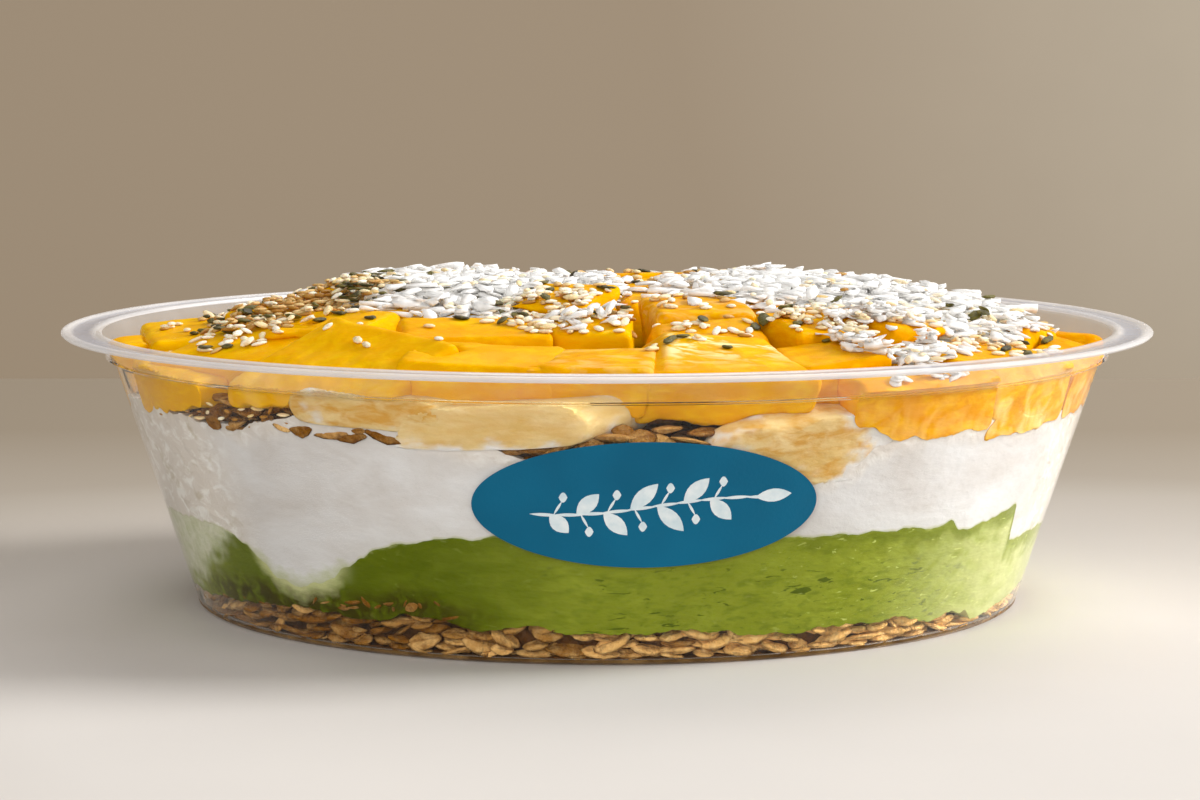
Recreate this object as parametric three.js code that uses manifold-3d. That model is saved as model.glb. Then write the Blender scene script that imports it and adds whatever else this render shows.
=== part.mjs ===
// A layered smoothie bowl: a shallow clear cup of granola, green smoothie, white coconut yogurt and more
// granola, heaped with banana slices, mango chunks and shredded coconut, with a sticker on its front.
// Millimetres. +Z is up, -Y is the front, and the origin is the middle of the face that the bowl rests on.
import * as THREE from "three";
import { ConvexGeometry } from "three/addons/geometries/ConvexGeometry.js";
import { mergeVertices } from "three/addons/utils/BufferGeometryUtils.js";
import Module from "manifold-3d";

// ---------------------------------------------------------------- driving dimensions
const SEGMENTS = 48; // facets round the bowl, and round each layer in it
const GAP = 0.3; // clearance between neighbours that touch
const MERGE = 1e-3;

const RIM_HEIGHT = 46.6;
const RIM_RADIUS = 92.5;
const RIM_THICKNESS = 1.0;
const LIP_DROP = 1.6; // how far the rolled outer lip hangs below the rim's top
const RIM_INNER_RADIUS = 86.2;
const LEDGE_HEIGHT = 41.6; // the step in the wall that empty bowls stack on
const LEDGE_STEP = 1.4;
const CONE_RADIUS = 69.9; // outer radius that the cone has where it would meet the floor
const CONE_SLOPE = 0.335; // outward run of the wall for each millimetre of height
const WALL = 0.74; // the wall's thickness, measured level
const FOOT_OUTER = 68.6;
const FOOT_INNER = 61.5;
const FOOT_RISE = 0.4; // how far the middle of the base stands clear
const FLOOR_HEIGHT = 1.0; // top of the floor inside
const HEEL_HEIGHT = 2.2; // where the rounded corner inside meets the cone
const HEEL_RUN = 1.9; // how far that corner comes in along the floor

const HEAP_TOP = 56.8;
const RIDGE_Y = -4; // the heap's ridge lies this far from the middle
const BACK_FALL = 14; // how far the heap falls from its ridge to the rim at the back, and at the front
const FRONT_FALL = 24;
const UNEVEN = 0.2; // the most that a chunk's corner is cut short, as a share of its half length
const SLANT = 0.12; // how far a banana slice's faces are shifted apart, as a share of its thickness
const SPREAD = 0.1; // share of the way out where a layer's top starts to follow its edge line
const LABEL = { azimuth: 4, height: 26, wide: 53, tall: 21.3, thick: 0.35, rings: 2, sides: 24 };

// ---------------------------------------------------------------- small helpers
const radians = THREE.MathUtils.degToRad;
const lerp = THREE.MathUtils.lerp;

const wasm = await Module();
wasm.setup();

// A point at an azimuth in degrees: 0 is the front, positive towards +X.
function around(azimuth, radius, height) {
  const a = radians(azimuth);
  return new THREE.Vector3(radius * Math.sin(a), -radius * Math.cos(a), height);
}

// Numbers from 0 to 1 that come out the same on every run.
function seeded(seed) {
  let state = seed * 7919 + 17;
  return () => {
    state = (state * 1664525 + 1013904223) % 4294967296;
    return state / 4294967296;
  };
}

// The surface from one pole, through rings of equal length, to the other pole. The rings run
// anticlockwise as seen from the far pole. Each quad is split the same way on both halves, so that
// one layer's underside matches the top of the next.
function closedSkin(near, rings, far) {
  const sides = rings[0].length;
  const points = [near, ...rings.flat(), far];
  const last = points.length - 1;
  const faces = [];
  const at = (ring, side) => 1 + ring * sides + (side % sides);
  for (let side = 0; side < sides; side++) {
    faces.push(0, at(0, side + 1), at(0, side));
    for (let ring = 0; ring + 1 < rings.length; ring++) {
      const [a, b] = [at(ring, side), at(ring, side + 1)];
      const [c, d] = [at(ring + 1, side + 1), at(ring + 1, side)];
      if (ring < (rings.length - 1) / 2) faces.push(a, b, c, a, c, d);
      else faces.push(a, b, d, b, c, d);
    }
    faces.push(at(rings.length - 1, side), at(rings.length - 1, side + 1), last);
  }
  const geometry = new THREE.BufferGeometry();
  geometry.setFromPoints(points);
  geometry.setIndex(faces);
  return geometry;
}

// A geometry as a solid that can be cut.
function solidOf(geometry) {
  const plain = geometry.clone();
  plain.deleteAttribute("normal");
  plain.deleteAttribute("uv");
  const merged = mergeVertices(plain, MERGE);
  return new wasm.Manifold(
    new wasm.Mesh({
      numProp: 3,
      vertProperties: merged.attributes.position.array,
      triVerts: new Uint32Array(merged.index.array),
    }),
  );
}

// The largest connected body of a cut solid, as a geometry. Slivers that a cut leaves are dropped.
function geometryOf(solid) {
  const { vertProperties, triVerts } = solid.getMesh();
  const body = Array.from({ length: vertProperties.length / 3 }, (_, i) => i);
  const root = (i) => {
    while (body[i] !== i) i = body[i] = body[body[i]];
    return i;
  };
  for (let t = 0; t < triVerts.length; t += 3) {
    body[root(triVerts[t])] = root(triVerts[t + 1]);
    body[root(triVerts[t + 1])] = root(triVerts[t + 2]);
  }
  const bodies = new Map();
  for (let t = 0; t < triVerts.length; t += 3) {
    const key = root(triVerts[t]);
    if (!bodies.has(key)) bodies.set(key, []);
    bodies.get(key).push(triVerts[t], triVerts[t + 1], triVerts[t + 2]);
  }
  const largest = [...bodies.values()].sort((a, b) => b.length - a.length)[0];
  const geometry = new THREE.BufferGeometry();
  geometry.setAttribute("position", new THREE.BufferAttribute(vertProperties, 3));
  geometry.setIndex(largest);
  return geometry.toNonIndexed();
}

const object = new THREE.Group();

function addPiece(name, geometry, look) {
  const piece = new THREE.Mesh(geometry, new THREE.MeshStandardMaterial({ metalness: 0, ...look }));
  piece.name = name;
  object.add(piece);
}

const LOOKS = {
  plastic: { color: "#e4e6e6", roughness: 0.12, transparent: true, opacity: 0.3 },
  sticker: { color: "#0f6a93", roughness: 0.45 },
  granola: { color: "#a8682c", roughness: 0.75 },
  smoothie: { color: "#7f9a22", roughness: 0.5 },
  yogurt: { color: "#efe9e2", roughness: 0.45 },
  banana: { color: "#e3cd86", roughness: 0.5 },
  mango: { color: "#f6a800", roughness: 0.35 },
  coconut: { color: "#f4f1ea", roughness: 0.7 },
};

// ---------------------------------------------------------------- the bowl
const outerRadius = (height) => CONE_RADIUS + CONE_SLOPE * height;
const innerRadius = (height) => outerRadius(height) - WALL;

// The widest that contents reach at a height: the flat of the floor, then the cone, then the neck.
function contentRadius(height) {
  const flat = innerRadius(HEEL_HEIGHT) - HEEL_RUN;
  const neck = innerRadius(LEDGE_HEIGHT) + LEDGE_STEP * 0.5;
  if (height < HEEL_HEIGHT) return flat - GAP;
  return (height > LEDGE_HEIGHT ? neck : innerRadius(height)) - GAP;
}

// The outline runs from the middle of the base, up the outside, over the rim and down the inside.
function bowl() {
  const lipLow = RIM_HEIGHT - LIP_DROP;
  const rimLow = RIM_HEIGHT - RIM_THICKNESS;
  const groove = RIM_HEIGHT - 0.3;
  const neckOuter = outerRadius(LEDGE_HEIGHT) + LEDGE_STEP;
  const profile = [
    [0, FOOT_RISE],
    [FOOT_INNER - 1.5, FOOT_RISE],
    [FOOT_INNER, 0],
    [FOOT_OUTER, 0],
    [outerRadius(1.6), 1.6],
    [outerRadius(LEDGE_HEIGHT), LEDGE_HEIGHT],
    [neckOuter, LEDGE_HEIGHT + 1],
    [RIM_INNER_RADIUS + 0.5, rimLow],
    [RIM_RADIUS - 1.7, rimLow],
    [RIM_RADIUS - 1, lipLow],
    [RIM_RADIUS, lipLow + 0.4],
    [RIM_RADIUS, RIM_HEIGHT - 0.4],
    [RIM_RADIUS - 0.4, RIM_HEIGHT],
    [RIM_RADIUS - 1.2, RIM_HEIGHT],
    [RIM_RADIUS - 1.8, groove],
    [RIM_INNER_RADIUS + 1.5, groove],
    [RIM_INNER_RADIUS + 0.9, RIM_HEIGHT],
    [RIM_INNER_RADIUS, RIM_HEIGHT],
    [RIM_INNER_RADIUS - 0.9, rimLow],
    [neckOuter - WALL, LEDGE_HEIGHT + 1.2],
    [innerRadius(LEDGE_HEIGHT), LEDGE_HEIGHT + 0.2],
    [innerRadius(HEEL_HEIGHT), HEEL_HEIGHT],
    [innerRadius(HEEL_HEIGHT) - HEEL_RUN, FLOOR_HEIGHT],
    [0, FLOOR_HEIGHT],
  ];
  const points = profile.map(([radius, height]) => new THREE.Vector2(radius, height));
  return new THREE.LatheGeometry(points, SEGMENTS).rotateX(Math.PI / 2);
}

// The room inside the bowl and over it, which everything piled in the bowl is trimmed to.
function roomForFood() {
  const profile = [
    [0, FLOOR_HEIGHT + GAP],
    [contentRadius(0), FLOOR_HEIGHT + GAP],
    [contentRadius(HEEL_HEIGHT), HEEL_HEIGHT + GAP],
    [innerRadius(LEDGE_HEIGHT) - GAP, LEDGE_HEIGHT],
    [contentRadius(RIM_HEIGHT), LEDGE_HEIGHT + LEDGE_STEP],
    [contentRadius(RIM_HEIGHT), HEAP_TOP],
    [0, HEAP_TOP],
  ];
  const points = profile.map(([radius, height]) => new THREE.Vector2(radius, height));
  return new THREE.LatheGeometry(points, SEGMENTS).rotateX(Math.PI / 2);
}

// ---------------------------------------------------------------- the layers
// Where a layer's top meets the wall: heights at azimuths, eased from one to the next all the way round.
function edgeLine(stops) {
  const last = stops.length - 1;
  const ring = [
    [stops[last][0] - 360, stops[last][1]],
    ...stops,
    [stops[0][0] + 360, stops[0][1]],
  ];
  return (azimuth) => {
    const next = ring.findIndex(([at]) => at > azimuth);
    const [from, low] = ring[next - 1];
    const [to, high] = ring[next];
    const share = (azimuth - from) / (to - from);
    return lerp(low, high, (1 - Math.cos(Math.PI * share)) / 2);
  };
}

// A layer's top: its edge line at the wall, evening out to one height in the middle.
function layerTop(stops, middle) {
  const edge = edgeLine(stops);
  return (azimuth, share) => lerp(middle, edge(azimuth), THREE.MathUtils.smoothstep(share, SPREAD, 0.8));
}

const TOPS = {
  floor: () => FLOOR_HEIGHT,
  granolaBase: layerTop(
    [[-165, 5.8], [-135, 6.6], [-105, 5.4], [-67.5, 6], [-52.5, 6.6], [-37.5, 7.4], [-22.5, 8], [0, 6.2],
      [15, 6.6], [37.5, 5.9], [60, 3.6], [75, 5.8], [112.5, 6.6], [150, 5.2]],
    6.2,
  ),
  green: layerTop(
    [[-172.5, 19.2], [-150, 20.6], [-127.5, 18.4], [-97.5, 14.6], [-67.5, 11], [-52.5, 15.2], [-45, 9.9],
      [-37.5, 11.8], [-30, 16.4], [-15, 20.6], [7.5, 20.9], [22.5, 20.2], [45, 19.9], [60, 19.8], [67.5, 15],
      [90, 14.8], [120, 19.4], [142.5, 20.8]],
    20.5,
  ),
  white: layerTop(
    [[-172.5, 34.8], [-135, 33.6], [-105, 34.6], [-75, 34.2], [-60, 33.3], [-45, 34.4], [-37.5, 37.2],
      [-30, 38.2], [-22.5, 37.6], [-7.5, 33.8], [22.5, 31], [37.5, 33.4], [45, 35.2], [60, 35.2], [75, 36.6],
      [90, 36.4], [127.5, 34.2], [157.5, 35.4]],
    39.6,
  ),
  granolaUpper: layerTop(
    [[-172.5, 37.4], [-135, 36], [-105, 37], [-75, 36.2], [-60, 37.4], [-52.5, 39], [-37.5, 39], [-30, 39.8],
      [-15, 37], [7.5, 37.8], [22.5, 34], [37.5, 35.2], [45, 36.8], [60, 36.8], [75, 38.2], [90, 37.8],
      [127.5, 36.6], [157.5, 38]],
    43,
  ),
};

const RING_SHARES = [0.4, 0.75, 1];

// Points on a top surface at a share of the way out to the wall.
function topRing(top, share, lift) {
  return Array.from({ length: SEGMENTS }, (_, i) => {
    const azimuth = (i * 360) / SEGMENTS - 180;
    const height = top(azimuth, share) + lift;
    return around(azimuth, share * contentRadius(height), height);
  });
}

// The solid between one layer's top and the next. The lowest layer also fills the rounded corner.
function layer(below, above) {
  const low = RING_SHARES.map((share) => topRing(below, share, GAP));
  const heel = below === TOPS.floor ? [topRing(() => HEEL_HEIGHT + GAP, 1, 0)] : [];
  const high = RING_SHARES.map((share) => topRing(above, share, 0)).reverse();
  const centre = (top, lift) => new THREE.Vector3(0, 0, top(0, 0) + lift);
  return closedSkin(centre(below, GAP), [...low, ...heel, ...high], centre(above, 0));
}

// ---------------------------------------------------------------- fruit
// A frame for a piece: its middle, then its turn about Z, lean to the front and tip to the right, in degrees.
function placed([x, y, z], [turn, lean, tip]) {
  const spin = new THREE.Euler(radians(lean), radians(tip), radians(turn), "ZXY");
  return new THREE.Matrix4().makeRotationFromEuler(spin).setPosition(x, y, z);
}

// A hand-cut chunk: a block with eight uneven corners, pinched in at the back by a share of its length
// and grown on all sides by the margin.
function chunk({ at, size, turn, pinch = 0, seed }, margin = 0) {
  const random = seeded(seed);
  const corners = [];
  for (let i = 0; i < 8; i++) {
    const signs = [i & 1, i & 2, i & 4].map((bit) => (bit ? 1 : -1));
    const corner = signs.map((sign, axis) => {
      const narrowing = axis === 0 && signs[1] > 0 ? 1 - pinch : 1;
      const half = (size[axis] / 2) * narrowing * (1 - UNEVEN * random());
      return sign * (half + margin);
    });
    corners.push(new THREE.Vector3(...corner));
  }
  return new ConvexGeometry(corners).applyMatrix4(placed(at, turn));
}

// A banana slice: an oval disc with a rounded edge, cut a little on the slant.
function slice({ at, size, turn }, margin = 0) {
  const sides = 12;
  const [long, wide, thick] = size.map((side) => side / 2 + margin);
  const ring = (share, height) =>
    Array.from({ length: sides }, (_, i) => {
      const a = (i * 2 * Math.PI) / sides;
      const skew = SLANT * height;
      return new THREE.Vector3(long * share * Math.cos(a) + skew, wide * share * Math.sin(a), height);
    });
  const rings = [ring(0.92, -thick), ring(1, 0), ring(0.92, thick)];
  const poles = [-thick, thick].map((height) => new THREE.Vector3(0, 0, height));
  return closedSkin(poles[0], rings, poles[1]).applyMatrix4(placed(at, turn));
}

const BANANAS = [
  { at: [-35, -64.5, 39.6], size: [27, 24, 6], turn: [-26, 5, 3] },
  { at: [-11, -68, 39.1], size: [37, 27, 6.2], turn: [-7, 6, -4] },
  { at: [30.5, -71.3, 34.2], size: [35, 12, 7], turn: [23, 106, 5] },
  { at: [-34, 58, 38.8], size: [32, 26, 6.4], turn: [28, -5, 3] },
  { at: [38, 56, 39], size: [33, 26, 6.4], turn: [-32, -5, 3] },
];

// Each row: middle, size along, across and up, then turn, lean and tip, and for some the pinch.
const MANGO = [
  // along the front wall, left to right
  [[-41.5, -63.5, 41], [35, 27, 10], [-50, 26, 5]],
  [[-20, -71, 43.4], [25, 15, 9.5], [-9, 12, 3], 0.1],
  [[-4, -73, 43.4], [18, 14, 8.5], [-2, 8, 0]],
  [[14.5, -69, 43.9], [36, 20, 8.2], [6, 16, 3.5], 0.4],
  [[34, -62, 43.8], [17, 14, 8], [24, 10, -4]],
  [[47, -63.5, 41.2], [30, 13, 7.5], [34, 8, 0]],
  [[60, -44, 42.8], [31, 18, 7.2], [39, 6, 4]],
  [[63, -47, 38.2], [20, 12, 10], [52, 12, -34]],
  [[75, -25, 39.8], [20, 12, 9.5], [70, 8, -6]],
  [[77, -2, 40.8], [16, 13, 8.5], [84, 4, 4]],
  [[-58, -40, 43], [28, 18, 8.5], [-36, 14, -3], 0.2],
  [[-67, -41, 38.8], [25, 12, 10], [-52, 6, 5]],
  [[-69, -9, 42.4], [27, 18, 9], [-76, 6, 2]],
  [[-79.5, -14, 40.6], [12, 10, 9], [-66, 2, 0]],
  // second row, rising to the heap
  [[-21, -52, 46.6], [26, 16, 7.6], [4, 8, 0]],
  [[-3, -50, 47.4], [18, 13, 7.6], [-12, 12, 0], 0.2],
  [[16, -52, 46.4], [18, 14, 7], [10, 12, -3]],
  [[14.5, -37, 48.6], [18, 14, 8], [9, 8, 0]],
  [[32, -48, 47.6], [17, 14, 8], [36, 12, 0]],
  [[45, -41, 47], [18, 15, 8], [48, 8, 4]],
  [[-43, -40, 46.6], [20, 16, 8], [-24, 10, -4]],
  [[-52, -18, 46.2], [19, 17, 8], [20, 6, -8]],
  [[-60, 6, 44.6], [17, 16, 7.6], [-12, 4, -6]],
  // the middle of the heap, under the coconut
  [[-29, -28, 49], [20, 17, 8], [12, 8, -4]],
  [[-9, -28, 50], [19, 17, 8], [-20, 6, 0]],
  [[11, -18, 49], [20, 18, 8], [16, 4, 0]],
  [[31, -27, 49.4], [19, 17, 8], [-14, 4, 4]],
  [[49, -20, 47.8], [17, 18, 7.6], [12, 2, 5]],
  [[66, -15, 43.6], [17, 15, 7], [66, 2, 5]],
  [[-36, -4, 50], [19, 18, 8], [-24, 0, -4]],
  [[-13, -6, 50], [20, 18, 8], [10, 0, -2]],
  [[9, 2, 49.2], [20, 18, 8], [-16, 0, 2]],
  [[31, -5, 49.8], [20, 18, 8], [22, 0, 4]],
  [[53, 3, 47.2], [19, 18, 7.6], [-28, -2, 6]],
  [[71, 14, 41.8], [15, 13, 7.6], [-70, -4, 4]],
  // the back, lower towards the wall
  [[-44, 20, 47], [20, 20, 8], [30, -8, -5]],
  [[-22, 22, 49], [20, 22, 8], [-12, -5, -2]],
  [[1, 27, 48.6], [20, 22, 8], [14, -9, 0]],
  [[24, 23, 48.6], [20, 22, 8], [-22, -6, 3]],
  [[45, 28, 46], [19, 20, 8], [38, -10, 5]],
  [[-61, 39, 41.6], [28, 22, 9], [-122, 8, 3]],
  [[-39, 50, 43], [28, 28, 9], [-146, 10, 0]],
  [[-13, 57, 43.8], [28, 34, 9], [-170, 10, 2]],
  [[15, 57, 43.6], [29, 34, 9], [170, 10, -2]],
  [[41, 49, 42.8], [28, 28, 9], [144, 12, 0]],
  [[62, 34, 38.6], [26, 18, 6.6], [118, 4, -3]],
  [[-72, 17, 38.4], [22, 14, 6.2], [-105, 3, 0]],
];

// ---------------------------------------------------------------- coconut
// The top of the whole heap: heights along its ridge from left to right, falling away to the front and back.
const RIDGE = [[-88, 43.6], [-66, 48.4], [-54, 51.4], [-44, 54], [-36, 55.2], [-24, 56], [-12, 54.8], [0, 53.5],
  [12, 54.4], [27, 56], [36, 54.5], [48, 53.2], [60, 51.4], [70, 49.4], [78, 47], [88, 43.6]];

function heapTop(x, y) {
  const next = Math.max(1, RIDGE.findIndex(([at]) => at > x));
  const [[from, low], [to, high]] = [RIDGE[next - 1], RIDGE[next]];
  const ridge = lerp(low, high, (x - from) / (to - from));
  const back = (y - RIDGE_Y) / RIM_INNER_RADIUS;
  const bumps = 0.3 * Math.sin(x / 6) * Math.cos(y / 8) + 0.2 * Math.sin((x + y) / 4);
  return ridge - (back > 0 ? BACK_FALL : FRONT_FALL) * back * back + bumps;
}

// A loose mound that follows the heap's top, thinning out to its uneven edge, grown by the margin.
function mound({ x, y, long, wide, thick, seed }, margin = 0) {
  const sides = 18;
  const shares = [0.5, 1];
  const random = seeded(seed);
  const reach = Array.from({ length: sides }, () => 0.84 + 0.2 * random());
  const point = (share, i, under) => {
    const a = (i * 2 * Math.PI) / sides;
    const px = x + (long + margin) * share * reach[i] * Math.cos(a);
    const py = y + (wide + margin) * share * reach[i] * Math.sin(a);
    const lift = under ? -thick * (1 - 0.7 * share * share) - margin : margin;
    return new THREE.Vector3(px, py, heapTop(px, py) + lift);
  };
  const ring = (share, under) => reach.map((_, i) => point(share, i, under));
  const rings = [...shares.map((s) => ring(s, true)), ...shares.map((s) => ring(s, false)).reverse()];
  return closedSkin(point(0, 0, true), rings, point(0, 0, false));
}

const MOUNDS = {
  coconut_left: { x: -21, y: -8, long: 26, wide: 38, thick: 3, seed: 3 },
  coconut_right: { x: 41, y: -9, long: 34, wide: 38, thick: 3, seed: 5 },
};

// ---------------------------------------------------------------- the sticker
// An oval wrapped on the outside of the cone.
function sticker() {
  const { azimuth, height, wide, tall, thick, rings, sides } = LABEL;
  const rise = 1 / Math.hypot(1, CONE_SLOPE);
  const ring = (share, lift) =>
    Array.from({ length: sides }, (_, i) => {
      const a = (i * 2 * Math.PI) / sides;
      const z = height + 0.5 * tall * share * Math.sin(a) * rise;
      const radius = outerRadius(z) + lift;
      const turn = THREE.MathUtils.radToDeg((0.5 * wide * share * Math.cos(a)) / outerRadius(height));
      return around(azimuth + turn, radius, z);
    });
  const shares = Array.from({ length: rings }, (_, i) => (i + 1) / rings);
  const inner = shares.map((share) => ring(share, GAP));
  const outer = shares.map((share) => ring(share, GAP + thick)).reverse();
  const pole = (lift) => around(azimuth, outerRadius(height) + lift, height);
  return closedSkin(pole(GAP), [...inner, ...outer], pole(GAP + thick));
}

// ---------------------------------------------------------------- putting it together
addPiece("bowl", bowl(), LOOKS.plastic);
addPiece("label", sticker(), LOOKS.sticker);
addPiece("granola_base", layer(TOPS.floor, TOPS.granolaBase), LOOKS.granola);
addPiece("green_layer", layer(TOPS.granolaBase, TOPS.green), LOOKS.smoothie);

const room = solidOf(roomForFood());
const ground = solidOf(layer(TOPS.floor, (azimuth, share) => TOPS.granolaUpper(azimuth, share) + GAP));
const heaps = Object.entries(MOUNDS).map(([name, shape]) => ({
  name,
  solid: solidOf(mound(shape)),
  grown: solidOf(mound(shape, GAP)),
}));

const bananas = [];
BANANAS.forEach((shape, i) => {
  const whole = solidOf(slice(shape)).intersect(room);
  const solid = bananas.reduce((left, other) => left.subtract(other.grown), whole);
  bananas.push({ name: `banana_${i + 1}`, solid, grown: solidOf(slice(shape, GAP)) });
});
for (const { name, solid } of bananas) addPiece(name, geometryOf(solid), LOOKS.banana);

// The upper layers part round the banana slices that sink into them.
for (const [name, below, above, look] of [
  ["white_layer", TOPS.green, TOPS.white, LOOKS.yogurt],
  ["granola_top", TOPS.white, TOPS.granolaUpper, LOOKS.granola],
]) {
  const whole = solidOf(layer(below, above));
  const parted = bananas.reduce((left, banana) => left.subtract(banana.grown), whole);
  addPiece(name, geometryOf(parted), look);
}

for (const { name, solid } of heaps) addPiece(name, geometryOf(solid), LOOKS.coconut);

// Each chunk gives way to those before it, to the banana, to the layer it lies on and to the coconut over it.
const taken = [ground, ...heaps.map((heap) => heap.grown), ...bananas.map((banana) => banana.grown)];
MANGO.forEach(([at, size, turn, pinch], i) => {
  const shape = { at, size, turn, pinch, seed: i + 1 };
  const trimmed = taken.reduce((left, other) => left.subtract(other), solidOf(chunk(shape)).intersect(room));
  addPiece(`mango_${String(i + 1).padStart(2, "0")}`, geometryOf(trimmed), LOOKS.mango);
  taken.push(solidOf(chunk(shape, GAP)));
});

export default object;
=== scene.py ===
"""The looks of a layered smoothie bowl: clear bowl, granola, green smoothie, white yogurt, fruit and toppings.
Lengths in the constants are millimetres; everything else is in metres, in the frame of the solid model."""
import math
import random

import bpy
import numpy as np
from mathutils import Euler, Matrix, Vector, noise
from mathutils.bvhtree import BVHTree


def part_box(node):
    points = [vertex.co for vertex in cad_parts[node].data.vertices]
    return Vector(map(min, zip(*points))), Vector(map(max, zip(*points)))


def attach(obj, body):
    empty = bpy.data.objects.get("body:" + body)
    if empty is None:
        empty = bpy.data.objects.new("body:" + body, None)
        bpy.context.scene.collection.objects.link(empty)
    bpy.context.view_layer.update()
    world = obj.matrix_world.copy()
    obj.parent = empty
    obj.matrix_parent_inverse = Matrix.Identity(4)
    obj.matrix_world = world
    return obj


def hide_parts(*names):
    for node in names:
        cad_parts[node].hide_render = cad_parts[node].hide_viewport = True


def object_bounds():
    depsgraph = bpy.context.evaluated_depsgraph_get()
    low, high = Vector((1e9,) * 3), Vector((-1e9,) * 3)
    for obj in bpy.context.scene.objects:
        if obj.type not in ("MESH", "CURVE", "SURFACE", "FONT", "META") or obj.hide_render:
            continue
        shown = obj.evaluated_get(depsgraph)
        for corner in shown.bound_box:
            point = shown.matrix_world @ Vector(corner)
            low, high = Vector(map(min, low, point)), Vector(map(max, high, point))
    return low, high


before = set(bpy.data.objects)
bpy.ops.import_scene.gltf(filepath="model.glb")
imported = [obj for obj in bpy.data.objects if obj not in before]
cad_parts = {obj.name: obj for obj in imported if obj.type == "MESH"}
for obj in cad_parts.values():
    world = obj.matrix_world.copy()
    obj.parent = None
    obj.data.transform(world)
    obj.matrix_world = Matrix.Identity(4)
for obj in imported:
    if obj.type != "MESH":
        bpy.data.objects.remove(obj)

CAD_BOX = [list(corner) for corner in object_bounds()]
MM = 0.001

# ------------------------------------------------------------------ sizes
RIM_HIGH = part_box("bowl")[1]
RIM_RADIUS = RIM_HIGH.x / MM
RIM_HEIGHT = RIM_HIGH.z / MM
RIM_INNER = 86.2
RIM_THICK = 0.75
LIP_DROP = 0.95
LEDGE_HEIGHT = 41.6
LEDGE_STEP = 1.4
LEDGE_RUN = 1.2  # height over which the inside widens above the ledge
CONE_RADIUS = 69.9
CONE_SLOPE = 0.335
WALL = 0.74
FOOT_OUTER, FOOT_INNER, FOOT_RISE = 68.8, 61.5, 0.2
FLOOR = 0.65
HEEL_HEIGHT, HEEL_RUN = 1.8, 1.5
BITE = 0.12  # how far the contents reach into the wall
NECK = CONE_RADIUS + CONE_SLOPE * LEDGE_HEIGHT + LEDGE_STEP  # outer radius above the ledge
RUN_PER_DEGREE = 1.34  # how far a degree is along the wall
RING = 75  # radius at which noise is read for what follows the wall
CAP_ROWS = 9  # rings of faces on a layer's top, and on its underside
TURNS = 192  # facets round the bowl
SKIN_TURNS = 768  # facets round each layer
HEAP_TOP = CAD_BOX[1][2] / MM
HEADROOM = 0.3  # kept free under the heap's top when things are dropped
NO_ROOF = 99
FLAKE_ROW, FLAKE_RISE = 1.7, 0.62  # how far apart flakes lie along the wall and up it, as shares of a spacing


def outer_radius(height):
    return CONE_RADIUS + CONE_SLOPE * height


def inner_radius(height):
    """Of the wall and of the wider neck above its ledge."""
    if height <= LEDGE_HEIGHT:
        return outer_radius(height) - WALL
    share = min(1.0, (height - LEDGE_HEIGHT) / LEDGE_RUN)
    return outer_radius(LEDGE_HEIGHT) - WALL + (NECK - outer_radius(LEDGE_HEIGHT)) * share


def wall_inside(height):
    """Inner radius with the rounded heel at the floor."""
    heel = inner_radius(HEEL_HEIGHT)
    if height >= HEEL_HEIGHT:
        return inner_radius(height)
    share = min(1.0, 1 - (height - FLOOR) / (HEEL_HEIGHT - FLOOR))
    return heel - HEEL_RUN * (1 - math.sqrt(1 - share ** 2))


# ------------------------------------------------------------------ modelling helpers
def deselect():
    if bpy.context.mode != "OBJECT":
        bpy.ops.object.mode_set(mode="OBJECT")
    bpy.ops.object.select_all(action="DESELECT")


def only(piece):
    deselect()
    piece.select_set(True)
    bpy.context.view_layer.objects.active = piece
    return piece


def named(name):
    piece = bpy.context.object
    piece.name = name
    piece.data.name = name
    return piece


def edit(piece, pick="NONE"):
    only(piece)
    bpy.ops.object.mode_set(mode="EDIT")
    bpy.ops.mesh.select_all(action="DESELECT" if pick == "NONE" else "SELECT")


def leave():
    bpy.ops.object.mode_set(mode="OBJECT")


def pick_open_edge():
    bpy.ops.mesh.select_mode(type="EDGE")
    bpy.ops.mesh.select_all(action="DESELECT")
    bpy.ops.mesh.select_non_manifold(extend=False, use_wire=False, use_boundary=True, use_multi_face=False,
                                     use_non_contiguous=False, use_verts=False)


def settle(piece):
    """Puts the piece's place, turn and size into its mesh."""
    only(piece)
    bpy.ops.object.transform_apply(location=True, rotation=True, scale=True)
    return piece


def outward(piece):
    edit(piece, "ALL")
    bpy.ops.mesh.remove_doubles(threshold=1e-6)
    bpy.ops.mesh.normals_make_consistent(inside=False)
    leave()
    return piece


def modify(piece, kind, **values):
    """Adds a modifier with these values and applies it."""
    only(piece)
    modifier = piece.modifiers.new(kind.lower(), kind)
    for key, value in values.items():
        setattr(modifier, key, value)
    bpy.ops.object.modifier_apply(modifier=modifier.name)
    return piece


def smooth(piece, angle=None):
    only(piece)
    if angle is None:
        bpy.ops.object.shade_smooth()
    else:
        bpy.ops.object.shade_smooth_by_angle(angle=math.radians(angle))
    return piece


def corners(piece):
    co = np.empty(len(piece.data.vertices) * 3)
    piece.data.vertices.foreach_get("co", co)
    return co.reshape(-1, 3)


def set_corners(piece, co):
    piece.data.vertices.foreach_set("co", np.asarray(co, float).ravel())
    piece.data.update()
    return piece


def attribute(piece, name, values):
    layer = piece.data.attributes.get(name) or piece.data.attributes.new(name, "FLOAT", "POINT")
    layer.data.foreach_set("value", np.asarray(values, np.float32))


def clouds(name, size):
    texture = bpy.data.textures.get(name) or bpy.data.textures.new(name, "CLOUDS")
    texture.noise_scale = size * MM
    texture.noise_depth = 2
    return texture


def uneven(piece, texture, strength):
    return modify(piece, "DISPLACE", texture=texture, strength=strength * MM, mid_level=0.5,
                  texture_coords="LOCAL")


def centred(piece):
    co = corners(piece)
    return set_corners(piece, co - co.mean(0))


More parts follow.
